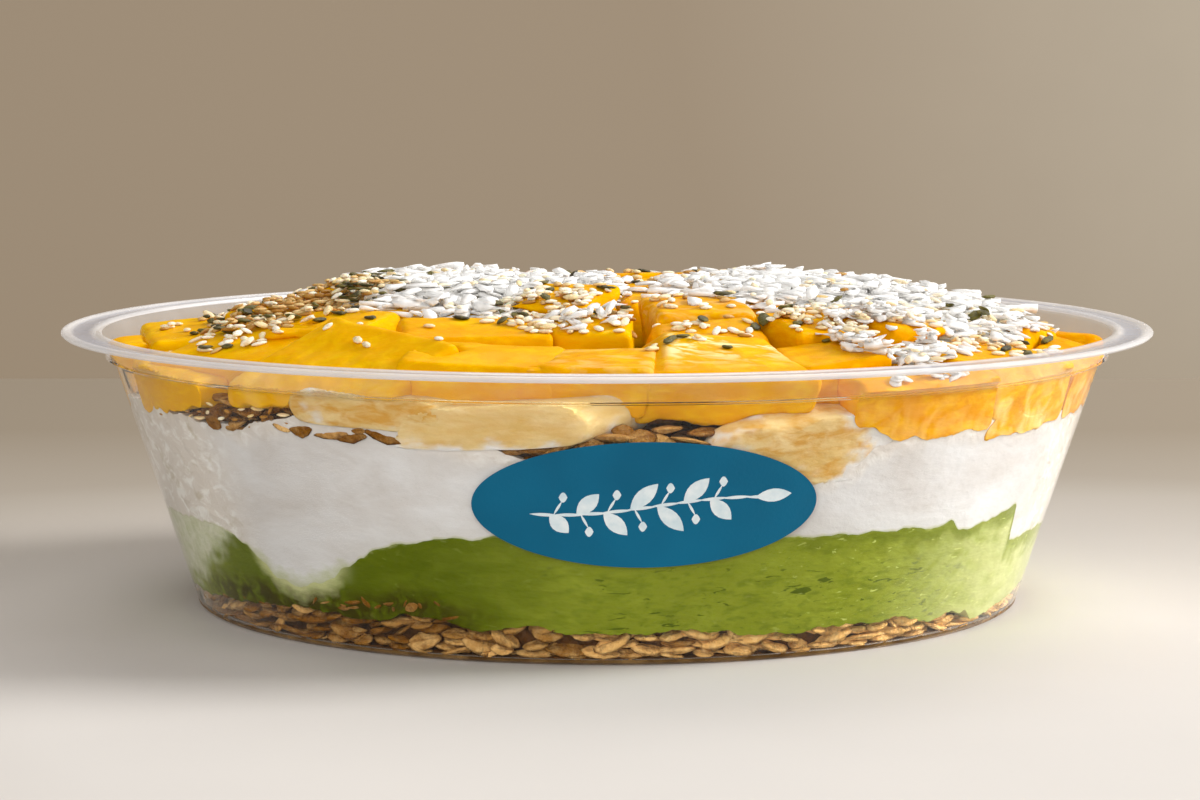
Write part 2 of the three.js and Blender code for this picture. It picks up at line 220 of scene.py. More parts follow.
def from_mesh(name, mesh):
    piece = bpy.data.objects.new(name, mesh)
    bpy.context.scene.collection.objects.link(piece)
    return piece


def own_copy(node, name):
    """A new piece from a CAD node's shape, with its loose triangles merged."""
    piece = from_mesh(name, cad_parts[node].data.copy())
    piece.data.materials.clear()
    edit(piece, "ALL")
    bpy.ops.mesh.remove_doubles(threshold=2e-6)
    leave()
    return piece


def ready(piece, finishes, slot, *nodes):
    """Gives a finished piece its finishes and its body, and hides the nodes it stands for. The slot is not used."""
    for finish in finishes if isinstance(finishes, (list, tuple)) else [finishes]:
        if finish.name not in piece.data.materials:
            piece.data.materials.append(finish)
    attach(piece, "root")
    if nodes:
        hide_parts(*nodes)
    return piece


# ------------------------------------------------------------------ finishes
def linear(red, green, blue):
    """A screen colour, 0 to 255, as the light that it stands for."""
    def one(v):
        v /= 255
        return v / 12.92 if v <= 0.04045 else ((v + 0.055) / 1.055) ** 2.4
    return one(red), one(green), one(blue)


class Nodes:
    """Short calls that add shader nodes to a tree. An input is a socket to read, or a plain value or colour."""

    def __init__(self, tree):
        self.tree = tree

    def link(self, source, target):
        self.tree.links.new(source, target)

    def add(self, kind, inputs={}, **settings):
        node = self.tree.nodes.new(kind)
        for key, value in settings.items():
            setattr(node, key, value)
        return self.feed(node, inputs)

    def feed(self, node, inputs):
        for key, value in inputs.items():
            target = node.inputs[key]
            if isinstance(value, bpy.types.NodeSocket):
                self.link(value, target)
            else:
                target.default_value = (*value, 1.0) if target.type == "RGBA" else value
        return node

    def math(self, operation, *values):
        return self.add("ShaderNodeMath", dict(enumerate(values)), operation=operation).outputs["Value"]

    def times(self, first, second):
        return self.math("MULTIPLY", first, second)

    def plus(self, first, second):
        return self.math("ADD", first, second)

    def vector(self, operation, *values):
        return self.add("ShaderNodeVectorMath", dict(enumerate(values)), operation=operation).outputs

    def between(self, value, start, end, least=0.0, most=1.0):
        """least at start, most at end, and held outside them."""
        return self.add("ShaderNodeMapRange", {"Value": value, "From Min": start, "From Max": end, "To Min": least,
                                               "To Max": most}, clamp=True).outputs["Result"]

    def blend(self, share, first, second):
        node = self.add("ShaderNodeMix", data_type="RGBA")
        one, two = [i for i, s in enumerate(node.inputs) if s.type == "RGBA"]
        self.feed(node, {"Factor": share, one: first, two: second})
        return next(s for s in node.outputs if s.type == "RGBA")


class Effect(Nodes):
    """A node group that several finishes use, with named sockets: its inputs' start values are below."""
    INPUTS = {"Place": None, "Stretch": (1, 1, 1), "Per mm": 0.3, "Detail": 4.0, "Warp": 0.0, "Reach": 0.15,
              "From": 0.35, "To": 0.65, "Least": 0.0, "Most": 1.0, "Under": None, "Over": None}
    KINDS = {"Place": "Vector", "Stretch": "Vector", "Under": "Color", "Over": "Color", "Colour": "Color"}
    NOISE = ["Place", "Stretch", "Per mm", "Detail", "Warp", "From", "To", "Least", "Most"]
    ROUGH = 0.58

    def __init__(self, name, inputs, output):
        super().__init__(bpy.data.node_groups.new(name, "ShaderNodeTree"))
        for label in [*inputs, output]:
            socket = self.tree.interface.new_socket(label, in_out="OUTPUT" if label == output else "INPUT",
                                                    socket_type="NodeSocket" + self.KINDS.get(label, "Float"))
            if self.INPUTS.get(label) is not None:
                socket.default_value = self.INPUTS[label]
        self.given = self.add("NodeGroupInput").outputs
        self.result = self.add("NodeGroupOutput").inputs[output]
        self.place = self.vector("MULTIPLY", self.given["Place"], self.given["Stretch"])["Vector"]
        self.scale = self.times(self.given["Per mm"], 1 / MM)

    def noise(self):
        given = self.given
        grain = self.add("ShaderNodeTexNoise", {"Vector": self.place, "Scale": self.scale, "Detail": given["Detail"],
                                                "Roughness": self.ROUGH, "Distortion": given["Warp"]})
        return self.between(grain.outputs["Fac"], given["From"], given["To"], given["Least"], given["Most"])

    def done(self, source):
        self.link(source, self.result)
        return self.tree


def mottle_group():
    """Lays one colour over another in soft patches."""
    effect = Effect("Mottle", [*Effect.NOISE, "Under", "Over"], "Colour")
    return effect.done(effect.blend(effect.noise(), effect.given["Under"], effect.given["Over"]))


def patches_group():
    """Soft patches as a plain mask, for gloss and relief."""
    effect = Effect("Patches", Effect.NOISE, "Mask")
    return effect.done(effect.noise())


def flecks_group():
    """Small separate flecks, as a mask that is one in the middle of each."""
    effect = Effect("Flecks", ["Place", "Stretch", "Per mm", "Reach"], "Mask")
    cells = effect.add("ShaderNodeTexVoronoi", {"Vector": effect.place, "Scale": effect.scale})
    return effect.done(effect.between(cells.outputs["Distance"], 0.0, effect.given["Reach"], 1.0, 0.0))


MOTTLE, PATCHES, FLECKS = mottle_group(), patches_group(), flecks_group()


class Finish(Nodes):
    """A material with its Principled shader, and short calls for what feeds it."""

    def __init__(self, name, **values):
        self.material = bpy.data.materials.new(name)
        self.material.use_nodes = True
        super().__init__(self.material.node_tree)
        self.shader = self.tree.nodes["Principled BSDF"]
        for key, value in values.items():
            self.shader.inputs[key.replace("_", " ")].default_value = value
        self.place = self.add("ShaderNodeTexCoord").outputs["Object"]

    def effect(self, group, start=None, end=None, **inputs):
        """A shared effect, from start to end; per_mm is how many blobs there are in a millimetre."""
        inputs = {key.replace("_", " ").capitalize(): value for key, value in inputs.items()}
        if start is not None:
            inputs.update({"From": start, "To": end})
        return self.add("ShaderNodeGroup", {"Place": self.place, **inputs}, node_tree=group).outputs[0]

    def mottle(self, under, over, per_mm, start, end, most=1.0, detail=4.0, stretch=(1, 1, 1), warp=0.0):
        return self.effect(MOTTLE, start, end, under=under, over=over, per_mm=per_mm, most=most, detail=detail,
                           stretch=stretch, warp=warp)

    def patches(self, per_mm, start=0.3, end=0.7, least=0.0, most=1.0, detail=4.0, stretch=(1, 1, 1), warp=0.0):
        return self.effect(PATCHES, start, end, per_mm=per_mm, least=least, most=most, detail=detail,
                           stretch=stretch, warp=warp)

    def flecks(self, per_mm, reach):
        return self.effect(FLECKS, per_mm=per_mm, reach=reach)

    def read(self, name):
        return self.add("ShaderNodeAttribute", attribute_name=name).outputs["Fac"]

    def colour(self, value):
        self.link(value, self.shader.inputs["Base Color"])
        return self

    def gloss(self, per_mm, least, most):
        self.link(self.patches(per_mm, least=least, most=most), self.shader.inputs["Roughness"])
        return self

    def relief(self, height, depth):
        """Relief of this depth in millimetres, on top of any before it."""
        normal = self.shader.inputs["Normal"]
        before = {"Normal": normal.links[0].from_socket} if normal.links else {}
        bump = self.add("ShaderNodeBump", {"Height": height, "Distance": depth * MM, **before})
        self.link(bump.outputs["Normal"], normal)
        return self


def wall_plastic():
    f = Finish("clear_wall", Base_Color=(0.985, 0.985, 0.98, 1), Roughness=0.02, IOR=1.25, Transmission_Weight=1.0)
    f.relief(f.patches(0.05, detail=2.0), 0.2)
    return f.material


def neck_plastic():
    """The stretched neck under the rim: faintly milky in front and behind, more so at the sides, where the added
    milkiness is painted reflection haze.
    """
    f = Finish("neck_plastic", Roughness=0.25, IOR=1.25)
    f.colour(f.mottle(linear(226, 222, 222), linear(240, 238, 238), 0.1, 0.35, 0.65, detail=2.0))
    sideways = f.add("ShaderNodeSeparateXYZ", {"Vector": f.place}).outputs["X"]
    # Milkier towards the sides: painted reflection haze.
    side = f.between(f.math("ABSOLUTE", sideways), 0.03, 0.075)
    milk = f.plus(f.patches(0.12, least=0.02, most=0.06, stretch=(1, 1, 3)), f.times(side, 0.1))
    f.link(milk, f.shader.inputs["Alpha"])
    return f.material


def foot_plastic_painted_reflection():
    """The foot ring, painted brown: a painted reflection of the granola that shows through it."""
    f = Finish("foot_plastic_painted_reflection", Roughness=0.35, IOR=1.25, Specular_IOR_Level=0.2, Alpha=0.62)
    f.colour(f.mottle(linear(104, 72, 30), linear(164, 128, 78), 0.25, 0.35, 0.7, detail=2.0))
    return f.material


def rim_plastic():
    """Milky: lighter along the rolled edges, greyer and a little more opaque in the groove between them."""
    f = Finish("milky_rim", IOR=1.4)
    length = f.vector("LENGTH", f.vector("MULTIPLY", f.place, (1, 1, 0))["Vector"])["Value"]
    radius = f.times(length, 1 / MM)
    groove = f.times(f.between(radius, RIM_INNER + 0.9, RIM_INNER + 1.8),
                    f.between(radius, RIM_RADIUS - 1.4, RIM_RADIUS - 2.2))
    base = f.mottle(linear(230, 228, 228), linear(242, 240, 240), 0.06, 0.35, 0.65, detail=2.0)
    f.colour(f.blend(groove, base, linear(176, 178, 188)))
    f.link(f.plus(f.patches(0.1, least=0.56, most=0.64), f.times(groove, 0.12)),
           f.shader.inputs["Alpha"])
    f.gloss(0.1, 0.15, 0.25)
    return f.material


def mango_flesh():
    f = Finish("mango_flesh", Subsurface_Weight=0.12, Subsurface_Scale=0.001, IOR=1.3, Specular_IOR_Level=0.02,
               Coat_Weight=0.03, Coat_Roughness=0.08, Coat_IOR=1.3,
               Subsurface_Radius=(1.0, 0.45, 0.05))
    base = f.blend(f.read("ripeness"), linear(234, 172, 0), linear(216, 140, 0))
    base = f.mottle(base, linear(247, 201, 4), 0.22, 0.45, 0.72, 0.6, stretch=(1, 1, 2.5), warp=0.6)
    base = f.mottle(base, linear(226, 140, 0), 0.08, 0.5, 0.75, 0.45, 2.0)
    # Pale streaks near the tops of some chunks: fibres, partly painted highlight.
    fibres_and_highlights = f.patches(0.16, 0.48, 0.6, detail=3.0, stretch=(1, 2.6, 2.6), warp=0.7)
    base = f.blend(f.times(fibres_and_highlights, f.read("pale")), base, linear(255, 236, 176))
    smears = f.patches(0.2, 0.42, 0.75, detail=2.0, warp=0.5)
    f.colour(f.blend(f.times(smears, f.read("smeared")), base, linear(248, 216, 150)))
    f.gloss(0.3, 0.25, 0.42)
    f.relief(f.patches(0.7, 0.2, 0.8, stretch=(1, 1, 2.5)), 0.05)
    f.relief(f.patches(0.16, 0.2, 0.8, detail=3.0), 0.25)
    return f.material


def banana_flesh():
    f = Finish("banana_flesh", Subsurface_Weight=0.2, Subsurface_Scale=0.002, IOR=1.36, Specular_IOR_Level=0.15,
               Subsurface_Radius=(1.0, 0.7, 0.3))
    base = f.mottle(linear(216, 183, 114), linear(232, 208, 156), 0.12, 0.35, 0.7, stretch=(1, 1, 2.4), warp=0.4)
    strokes = f.patches(0.22, 0.42, 0.64, detail=3.0, stretch=(1, 1, 2.8), warp=0.35)
    base = f.blend(f.times(strokes, f.read("ripe")), base, linear(206, 150, 48))
    f.colour(f.blend(f.read("yogurt"), base, linear(224, 221, 217)))
    f.gloss(0.5, 0.3, 0.5)
    f.relief(f.patches(0.4, 0.2, 0.8, stretch=(1, 1, 2)), 0.12)
    return f.material


def green_smoothie():
    """Blended leaves: streaky green, flecked dark, and whitish where yogurt has run into it; the pale haze on the
    right side is painted reflection, and most of the deeper green, on the left, is painted shade.
    """
    f = Finish("green_smoothie", IOR=1.33, Specular_IOR_Level=0.08, Subsurface_Weight=0.1, Subsurface_Scale=0.001,
               Subsurface_Radius=(0.5, 1.0, 0.2))
    # Deeper green: painted shade over the left side, and a darker band along the top edge on the right.
    base = f.blend(f.read("deep"), linear(135, 146, 35), linear(88, 101, 0))
    light = f.patches(0.12, 0.45, 0.7, most=0.5, detail=2.0, stretch=(1, 1, 2.5), warp=0.5)
    base = f.blend(f.times(light, f.math("SUBTRACT", 1.0, f.times(f.read("deep"), 0.7))), base,
                   linear(157, 167, 54))
    dark = f.patches(0.4, 0.5, 0.66, most=0.4, detail=2.0, stretch=(1, 1, 2.4))
    base = f.blend(f.times(dark, f.read("leafy")), base, linear(84, 102, 4))
    mixed = f.times(f.patches(0.35, 0.35, 0.56, detail=4.0, warp=0.8), f.read("mixed"))
    base = f.blend(mixed, base, linear(56, 44, 4))
    leaf_bits = f.patches(0.26, 0.63, 0.66, most=0.8, detail=3.0, stretch=(1, 1, 4.5), warp=0.9)
    base = f.blend(f.times(leaf_bits, f.read("leafy")), base, linear(62, 80, 2))
    specks = f.patches(0.45, 0.65, 0.72, most=0.8, detail=2.0, stretch=(1, 1, 2.6), warp=0.6)
    base = f.blend(f.times(specks, f.read("specked")), base, linear(204, 212, 120))
    depth = f.plus(f.times(f.read("under"), 10.0), f.patches(0.4, 0.2, 0.8, -0.8, 0.8, 3.0, stretch=(1, 1, 2)))
    run = f.times(f.between(depth, 3.0, 0.3, 0.0, 0.75), f.read("drip"))
    seam = f.between(depth, 0.2, -0.9, 0.0, 0.5)
    # Whitish where yogurt has run in or meets the top, and where the painted reflection haze lies.
    base = f.blend(f.math("MAXIMUM", f.math("MAXIMUM", run, seam), f.read("haze")), base, linear(212, 214, 156))
    milky = f.mottle(linear(222, 222, 200), linear(196, 200, 160), 0.4, 0.4, 0.7, warp=0.6)
    f.colour(f.blend(f.read("milk"), base, milky))
    f.gloss(0.5, 0.35, 0.6)
    f.relief(f.patches(0.7, 0.2, 0.8, detail=2.0, stretch=(1, 1, 2.4)), 0.04)
    f.relief(f.patches(0.25, 0.2, 0.8, detail=2.0, stretch=(1, 1, 2.4)), 0.15)
    return f.material


def white_yogurt():
    f = Finish("white_yogurt", IOR=1.33, Specular_IOR_Level=0.15, Subsurface_Weight=0.15, Subsurface_Scale=0.002,
               Subsurface_Radius=(1.0, 0.9, 0.8))
    base = f.mottle(linear(203, 198, 193), linear(220, 219, 218), 0.06, 0.35, 0.7, stretch=(1, 1, 2.2), warp=0.5)
    torn = f.mottle(linear(222, 214, 204), linear(246, 244, 238), 0.3, 0.5, 0.64, 0.8, stretch=(1, 1, 1.5), warp=0.8)
    torn = f.mottle(torn, linear(194, 182, 158), 0.2, 0.56, 0.68, 0.6, stretch=(1, 1, 1.5), warp=0.8)
    base = f.blend(f.read("torn"), base, torn)
    rise = f.math("DIVIDE", f.times(f.read("rise"), 10.0),
                  f.plus(f.times(f.read("drip"), 2.6), 0.5))
    rise = f.plus(rise, f.patches(0.4, 0.2, 0.8, -0.4, 0.4, 3.0, stretch=(1, 1, 2)))
    f.colour(f.blend(f.between(rise, 0.9, -0.1, 0.0, 0.6), base, linear(166, 174, 92)))
    f.gloss(0.3, 0.3, 0.5)
    f.relief(f.patches(0.3, 0.2, 0.8, stretch=(1, 1, 1.8)), 0.1)
    f.relief(f.times(f.patches(0.25, 0.3, 0.7, detail=3.0, warp=0.6), f.read("torn")), 0.2)
    return f.material


def granola_crumb_and_gap_shade():
    f = Finish("granola_crumb_and_gap_shade", Specular_IOR_Level=0.2)
    # Dark brown crumbs, darkened further as painted shade for the gaps between the flakes.
    base = f.mottle(linear(50, 29, 8), linear(104, 64, 22), 0.3, 0.35, 0.65)
    f.colour(f.blend(f.flecks(0.35, 0.5), base, linear(22, 11, 3)))
    f.gloss(0.4, 0.6, 0.85)
    f.relief(f.flecks(0.4, 0.6), 0.8)
    return f.material


def oat_flake():
    """Golden in the middle, browner and darker towards the rim, some baked more than others. The darker crease is
    painted shade, the darker rim partly painted shade between flakes, and the flakes on the left are darkened as
    painted shade.
    """
    f = Finish("oat_flake", Specular_IOR_Level=0.12)
    base = f.blend(f.read("toast"), linear(250, 196, 118), linear(134, 84, 2))
    pale = f.math("SUBTRACT", 1.0, f.times(f.read("toast"), 0.75))
    base = f.blend(f.times(f.patches(0.7, 0.45, 0.7, most=0.7), pale), base, linear(252, 216, 148))
    base = f.mottle(base, linear(100, 54, 4), 0.4, 0.52, 0.7, 0.7)
    # The crease along the middle is darkened as painted shade; the rim is darkened as toasted edges and painted shade
    # between flakes.
    beside = f.plus(f.math("ABSOLUTE", f.read("across")), f.patches(0.6, least=-0.12, most=0.12))
    crease = f.times(f.between(beside, 0.14, 0.02), f.between(f.read("rim"), 0.95, 0.7))
    edge = f.between(f.read("rim"), 0.84, 1.0)
    base = f.blend(f.times(crease, 0.45), base, linear(112, 62, 8))
    f.colour(f.blend(f.times(edge, 0.75), base, linear(92, 50, 4)))
    f.gloss(0.8, 0.4, 0.7)
    f.relief(f.patches(1.0, 0.2, 0.8), 0.6)
    return f.material


def coconut_white():
    f = Finish("coconut_white", Subsurface_Weight=0.65, Subsurface_Scale=0.002, Specular_IOR_Level=0.2,
               Subsurface_Radius=(1.0, 1.0, 1.0))
    base = f.mottle(linear(254, 252, 249), linear(255, 255, 254), 0.4, 0.35, 0.65)
    f.colour(f.blend(f.times(f.read("shade"), 0.1), base, linear(244, 230, 204)))
    f.gloss(0.6, 0.4, 0.65)
    f.relief(f.patches(1.6, stretch=(1, 1, 2)), 0.08)
    return f.material


def hemp_heart():
    """Shelled seeds, cream to golden, and toasted crumbs among them."""
    f = Finish("hemp_heart", Subsurface_Weight=0.15, Subsurface_Scale=0.0008, Specular_IOR_Level=0.3)
    shade = f.read("shade")
    base = f.blend(f.between(shade, 0.0, 0.7), linear(252, 246, 230), linear(238, 210, 148))
    base = f.blend(f.between(shade, 0.7, 0.95), base, linear(172, 120, 36))
    f.colour(f.mottle(base, linear(160, 134, 58), 0.6, 0.56, 0.68, 0.5))
    f.gloss(0.8, 0.35, 0.55)
    f.relief(f.patches(1.4), 0.1)
    return f.material


def seed_hull():
    f = Finish("seed_hull", Specular_IOR_Level=0.4)
    base = f.blend(f.read("shade"), linear(98, 90, 22), linear(44, 38, 8))
    f.colour(f.mottle(base, linear(136, 122, 44), 0.8, 0.5, 0.7, 0.7))
    f.gloss(0.8, 0.35, 0.6)
    f.relief(f.patches(1.4), 0.12)
    return f.material


def sticker_paper():
    f = Finish("sticker_paper", Specular_IOR_Level=0.15)
    f.colour(f.mottle(linear(0, 92, 126), linear(2, 104, 140), 0.05, 0.35, 0.7, detail=2.0))
    f.gloss(0.3, 0.35, 0.45)
    f.relief(f.patches(1.5, detail=2.0), 0.015)
    return f.material


def sticker_ink():
    f = Finish("sticker_ink", Specular_IOR_Level=0.3)
    f.colour(f.mottle(linear(206, 224, 232), linear(232, 241, 244), 0.4, 0.35, 0.65))
    f.gloss(0.3, 0.35, 0.45)
    return f.material


# ------------------------------------------------------------------ the bowl
def turned(name, outline, turns):
    """A closed shell of revolution: a filled disc, its edge drawn out ring by ring, and closed at the middle."""
    (first, low), rest = outline[0], outline[1:]
    deselect()
    bpy.ops.mesh.primitive_circle_add(vertices=turns, radius=first * MM, fill_type="TRIFAN",
                                      location=(0, 0, low * MM))
    piece = settle(named(name))
    edit(piece)
    pick_open_edge()
    radius, height = first, low
    for next_radius, next_height in rest:
        bpy.ops.mesh.extrude_region_move(
            TRANSFORM_OT_translate={"value": (0, 0, (next_height - height) * MM)})
        if next_radius > 0:
            size = next_radius / radius
            bpy.ops.transform.resize(value=(size, size, 1), center_override=(0, 0, next_height * MM))
        else:
            bpy.ops.mesh.merge(type="CENTER")
        radius, height = next_radius, next_height
    leave()
    return outward(piece)


def bowl():
    lip = RIM_HEIGHT - LIP_DROP
    under = RIM_HEIGHT - RIM_THICK
    heel = inner_radius(HEEL_HEIGHT)
    ledge = [(-0.4, 0.0), (-0.1, 0.08), (0.06, 0.3), (0.16, 0.7), (0.26, 1.1), (0.42, 1.32), (0.8, LEDGE_STEP),
             (1.8, LEDGE_STEP)]  # height above the ledge, and how much wider than the cone there
    outside = [(outer_radius(LEDGE_HEIGHT) + min(rise, 0) * CONE_SLOPE + wide, LEDGE_HEIGHT + rise)
               for rise, wide in ledge]
    inside = [(radius - WALL, height + 0.1) for radius, height in reversed(outside)]
    outline = [
        # the base, its foot ring and the outer heel
        (FOOT_INNER - 1.5, FOOT_RISE), (FOOT_INNER - 0.6, FOOT_RISE - 0.1), (FOOT_INNER, 0.05),
        (FOOT_INNER + 0.5, 0), (FOOT_OUTER, 0), (FOOT_OUTER + 0.7, 0.12), (FOOT_OUTER + 1.3, 0.5),
        (outer_radius(1.0) - 0.05, 1.0), (outer_radius(1.6), 1.6),
        # the wall, the stacking ledge and the neck
        (outer_radius(14), 14), (outer_radius(28), 28), *outside, (RIM_INNER - 0.3, under - 0.3),
        # under the flange, round the rolled lip and over the rim
        (RIM_INNER + 0.5, under), (RIM_RADIUS - 1.9, under), (RIM_RADIUS - 1.5, under - 0.15),
        (RIM_RADIUS - 1.1, lip + 0.1), (RIM_RADIUS - 0.8, lip), (RIM_RADIUS - 0.3, lip + 0.1),
        (RIM_RADIUS, lip + 0.4), (RIM_RADIUS, RIM_HEIGHT - 0.4), (RIM_RADIUS - 0.2, RIM_HEIGHT - 0.15),
        (RIM_RADIUS - 0.6, RIM_HEIGHT), (RIM_RADIUS - 1.1, RIM_HEIGHT), (RIM_RADIUS - 1.5, RIM_HEIGHT - 0.1),
        (RIM_RADIUS - 1.9, RIM_HEIGHT - 0.3), (RIM_INNER + 1.6, RIM_HEIGHT - 0.3),
        (RIM_INNER + 1.1, RIM_HEIGHT - 0.1), (RIM_INNER + 0.6, RIM_HEIGHT), (RIM_INNER, RIM_HEIGHT - 0.1),
        (RIM_INNER - 0.5, RIM_HEIGHT - 0.5), (RIM_INNER - 0.9, under - 0.3),
        # down the inside to the rounded heel and the floor
        *inside, (inner_radius(28), 28), (inner_radius(14), 14), (heel, HEEL_HEIGHT),
        (heel - 0.25, HEEL_HEIGHT - 0.6), (heel - 0.8, HEEL_HEIGHT - 1.0), (heel - HEEL_RUN, FLOOR),
        (heel - HEEL_RUN - 6, FLOOR), (20, FLOOR), (0, FLOOR),
    ]
    piece = turned("bowl_shell", outline, TURNS)
    for plastic in (wall_plastic(), neck_plastic(), rim_plastic(), foot_plastic_painted_reflection()):
        piece.data.materials.append(plastic)
    for face in piece.data.polygons:
        radius, height = Vector(face.center.xy).length / MM, face.center.z / MM
        milky = radius > RIM_INNER - 0.7 and (height > under - 0.1 or radius > RIM_INNER + 0.6)
        foot = height < 0.9 and radius > FOOT_OUTER - 0.2
        face.material_index = 2 if milky else 1 if height > LEDGE_HEIGHT + 0.6 else 3 if foot else 0
    smooth(piece, 35)
    piece.visible_shadow = False  # lamps shine through clear plastic
    return ready(piece, [], "clear_plastic", "bowl")


# ------------------------------------------------------------------ the layers
def edge_line(stops, ragged, seed):
    """Height at an azimuth in degrees: eased between the stops all the way round, and ragged by a few tenths."""
    first, last = stops[0], stops[-1]
    ring = [(last[0] - 360, last[1]), *stops, (first[0] + 360, first[1])]
    places = np.array([s[0] for s in ring], float)
    heights = np.array([s[1] for s in ring], float)

    def at(azimuth):
        azimuth = (azimuth - first[0]) % 360 + first[0]
        i = int(np.searchsorted(places, azimuth, "right")) - 1
        i = min(max(i, 0), len(places) - 2)
        share = (azimuth - places[i]) / (places[i + 1] - places[i])
        height = heights[i] + (heights[i + 1] - heights[i]) * (1 - math.cos(math.pi * share)) / 2
        a = math.radians(azimuth)
        ring_place = Vector((math.sin(a) * RING, math.cos(a) * RING, seed * 10))
        return height + ragged * rough((ring_place, 5.0, 0.9), (ring_place, 1.7, 0.7), (ring_place, 0.7, 0.35))

    return at


BASE_TOP = edge_line(
    [(-165, 5.8), (-135, 6.6), (-105, 5.4), (-69, 5.8), (-57, 6.6), (-46, 7.1), (-42, 7.9), (-37, 7.5), (-34, 6.9),
     (-29, 7.1), (-26, 8.4), (-22, 8.1), (-16, 6.3), (-13, 6.9), (-9, 7.6), (-4.5, 6.3), (4, 6.4), (9, 7.0),
     (14, 6.7), (18, 5.7), (25, 5.4), (28, 6.0), (37, 5.9), (40, 6.2), (47, 4.6), (50, 5.6), (54, 4.8), (57, 3.3),
     (61, 3.5), (66, 4.7), (75, 5.8), (112, 6.6), (150, 5.2)], 0.6, 1)
GREEN_TOP = edge_line(
    [(-172, 19.2), (-150, 20.6), (-127, 18.4), (-100, 17.2), (-78, 17.4), (-65, 17.9), (-58, 17.9), (-53.5, 17.2),
     (-50, 15.8), (-47.5, 13.4), (-45, 10.6), (-41.5, 10.0), (-38, 10.7), (-35.5, 12.0), (-33, 14.2), (-30.5, 15.6),
     (-28.5, 17.5), (-24.7, 18.7), (-18, 20.1), (-10, 20.9), (7, 20.9), (25, 20.1), (37, 19.8),
     (42.5, 19.2), (44, 20.0), (45, 20.4), (47, 18.6), (49, 18.2), (52, 18.9), (56, 19.9), (59.3, 20.8), (61, 14.6),
     (68, 14.9), (90, 14.7), (120, 19.4), (142, 20.8)], 0.45, 2)
WHITE_TOP = edge_line(
    [(-172, 34.8), (-135, 33.6), (-105, 34.6), (-90, 35.5), (-78, 36.6), (-70, 36.8), (-61, 36.4), (-54, 35.6),
     (-45, 35.6), (-41, 36.6), (-37, 37.9), (-29.5, 38.8), (-24.5, 39.2), (-22, 38.4), (-20, 36.4), (-14, 35.1),
     (-9.3, 33.2), (5, 31.5), (18, 30.4), (25, 29.8), (28, 31), (31, 33.8), (34, 36.2), (41, 36.6),
     (49, 36.4), (56, 35.6), (61, 35.8), (67, 36.2), (80, 37.0), (90, 36.8), (127, 34.2), (157, 35.4)], 0.7, 3)


def swell(value, low, high):
    """0 below low, 1 above high, and eased between."""
    share = min(1.0, max(0.0, (value - low) / (high - low)))
    return share * share * (3 - 2 * share)


def band(value, low, rise, fall, high):
    return swell(value, low, rise) * (1 - swell(value, fall, high))


def rough(*parts):
    """Noise in several sizes added up, each from a place, the length of its waves and its share."""
    return sum(share * noise.noise(Vector(place) / length) for place, length, share in parts)


def azimuth_of(x, y):
    return math.degrees(math.atan2(x, -y))


def around(turn, radius, height=0.0):
    """The place at this turn from the front, in radians, and this radius and height."""
    return radius * math.sin(turn), -radius * math.cos(turn), height


def layer(name, low, high, middle, relief, into=lambda height: BITE, side_rows=16):
    """A closed body of a layer: its side follows the wall between two edge lines, reaching into it by so much at
    a height, its top and its underside run in to the middle at the heights given, with relief on the top."""
    deselect()
    start, top = 1.0, 2.0  # nominal heights, replaced below
    bpy.ops.mesh.primitive_circle_add(vertices=SKIN_TURNS, radius=1.0, fill_type="NOTHING", location=(0, 0, start))
    piece = settle(named(name))
    edit(piece, "ALL")
    for _ in range(side_rows):
        bpy.ops.mesh.extrude_region_move(TRANSFORM_OT_translate={"value": (0, 0, (top - start) / side_rows)})
    for cap in range(2):
        if cap:
            pick_open_edge()
        step = 0.2 if cap == 0 else -0.2
        size = 1.0
        for row in range(CAP_ROWS):
            shrunk = 1 - (row + 1) / (CAP_ROWS + 1)
            bpy.ops.mesh.extrude_region_move(TRANSFORM_OT_translate={"value": (0, 0, step)})
            bpy.ops.transform.resize(value=(shrunk / size, shrunk / size, 1), center_override=(0, 0, 0))
            size = shrunk
        bpy.ops.mesh.extrude_region_move(TRANSFORM_OT_translate={"value": (0, 0, step)})
        bpy.ops.mesh.merge(type="CENTER")
    leave()
    co = corners(piece)
    placed = np.empty_like(co)
    for i, (x, y, z) in enumerate(co):
        azimuth = azimuth_of(x, y)
        share = math.hypot(x, y)
        bottom, upper = low(azimuth), high(azimuth)
        if start - 1e-6 <= z <= top + 1e-6:
            height = bottom + (upper - bottom) * (z - start) / (top - start)
            radius = min(wall_inside(height), inner_radius(LEDGE_HEIGHT) + 0.4) + into(height)
        else:
            over = z > top
            edge, centre = (upper, middle[1]) if over else (bottom, middle[0])
            height = centre + (edge - centre) * swell(share, 0.1, 0.9)
            radius = share * (wall_inside(edge) + into(edge))
            if over and relief:
                spot = Vector((x * RING, y * RING, 7.0))
                height += relief * rough((spot, 6.0, 1), (spot, 2.2, 0.6)) * min(1, 8 * (1 - share))
        placed[i] = around(math.radians(azimuth), radius, height)
    set_corners(piece, placed * MM)
    return smooth(outward(piece), 50)


def painted(piece, names, values):
    """Gives a piece attributes of these names, from values(x, y, z) at its corners in millimetres."""
    for name, column in zip(names.split(), zip(*(values(x, y, z) for x, y, z in corners(piece) / MM))):
        attribute(piece, name, column)


def yogurt_run(azimuth):
    """Where the yogurt has run down into the smoothie."""
    return band(azimuth, -50, -47, -36, -31)


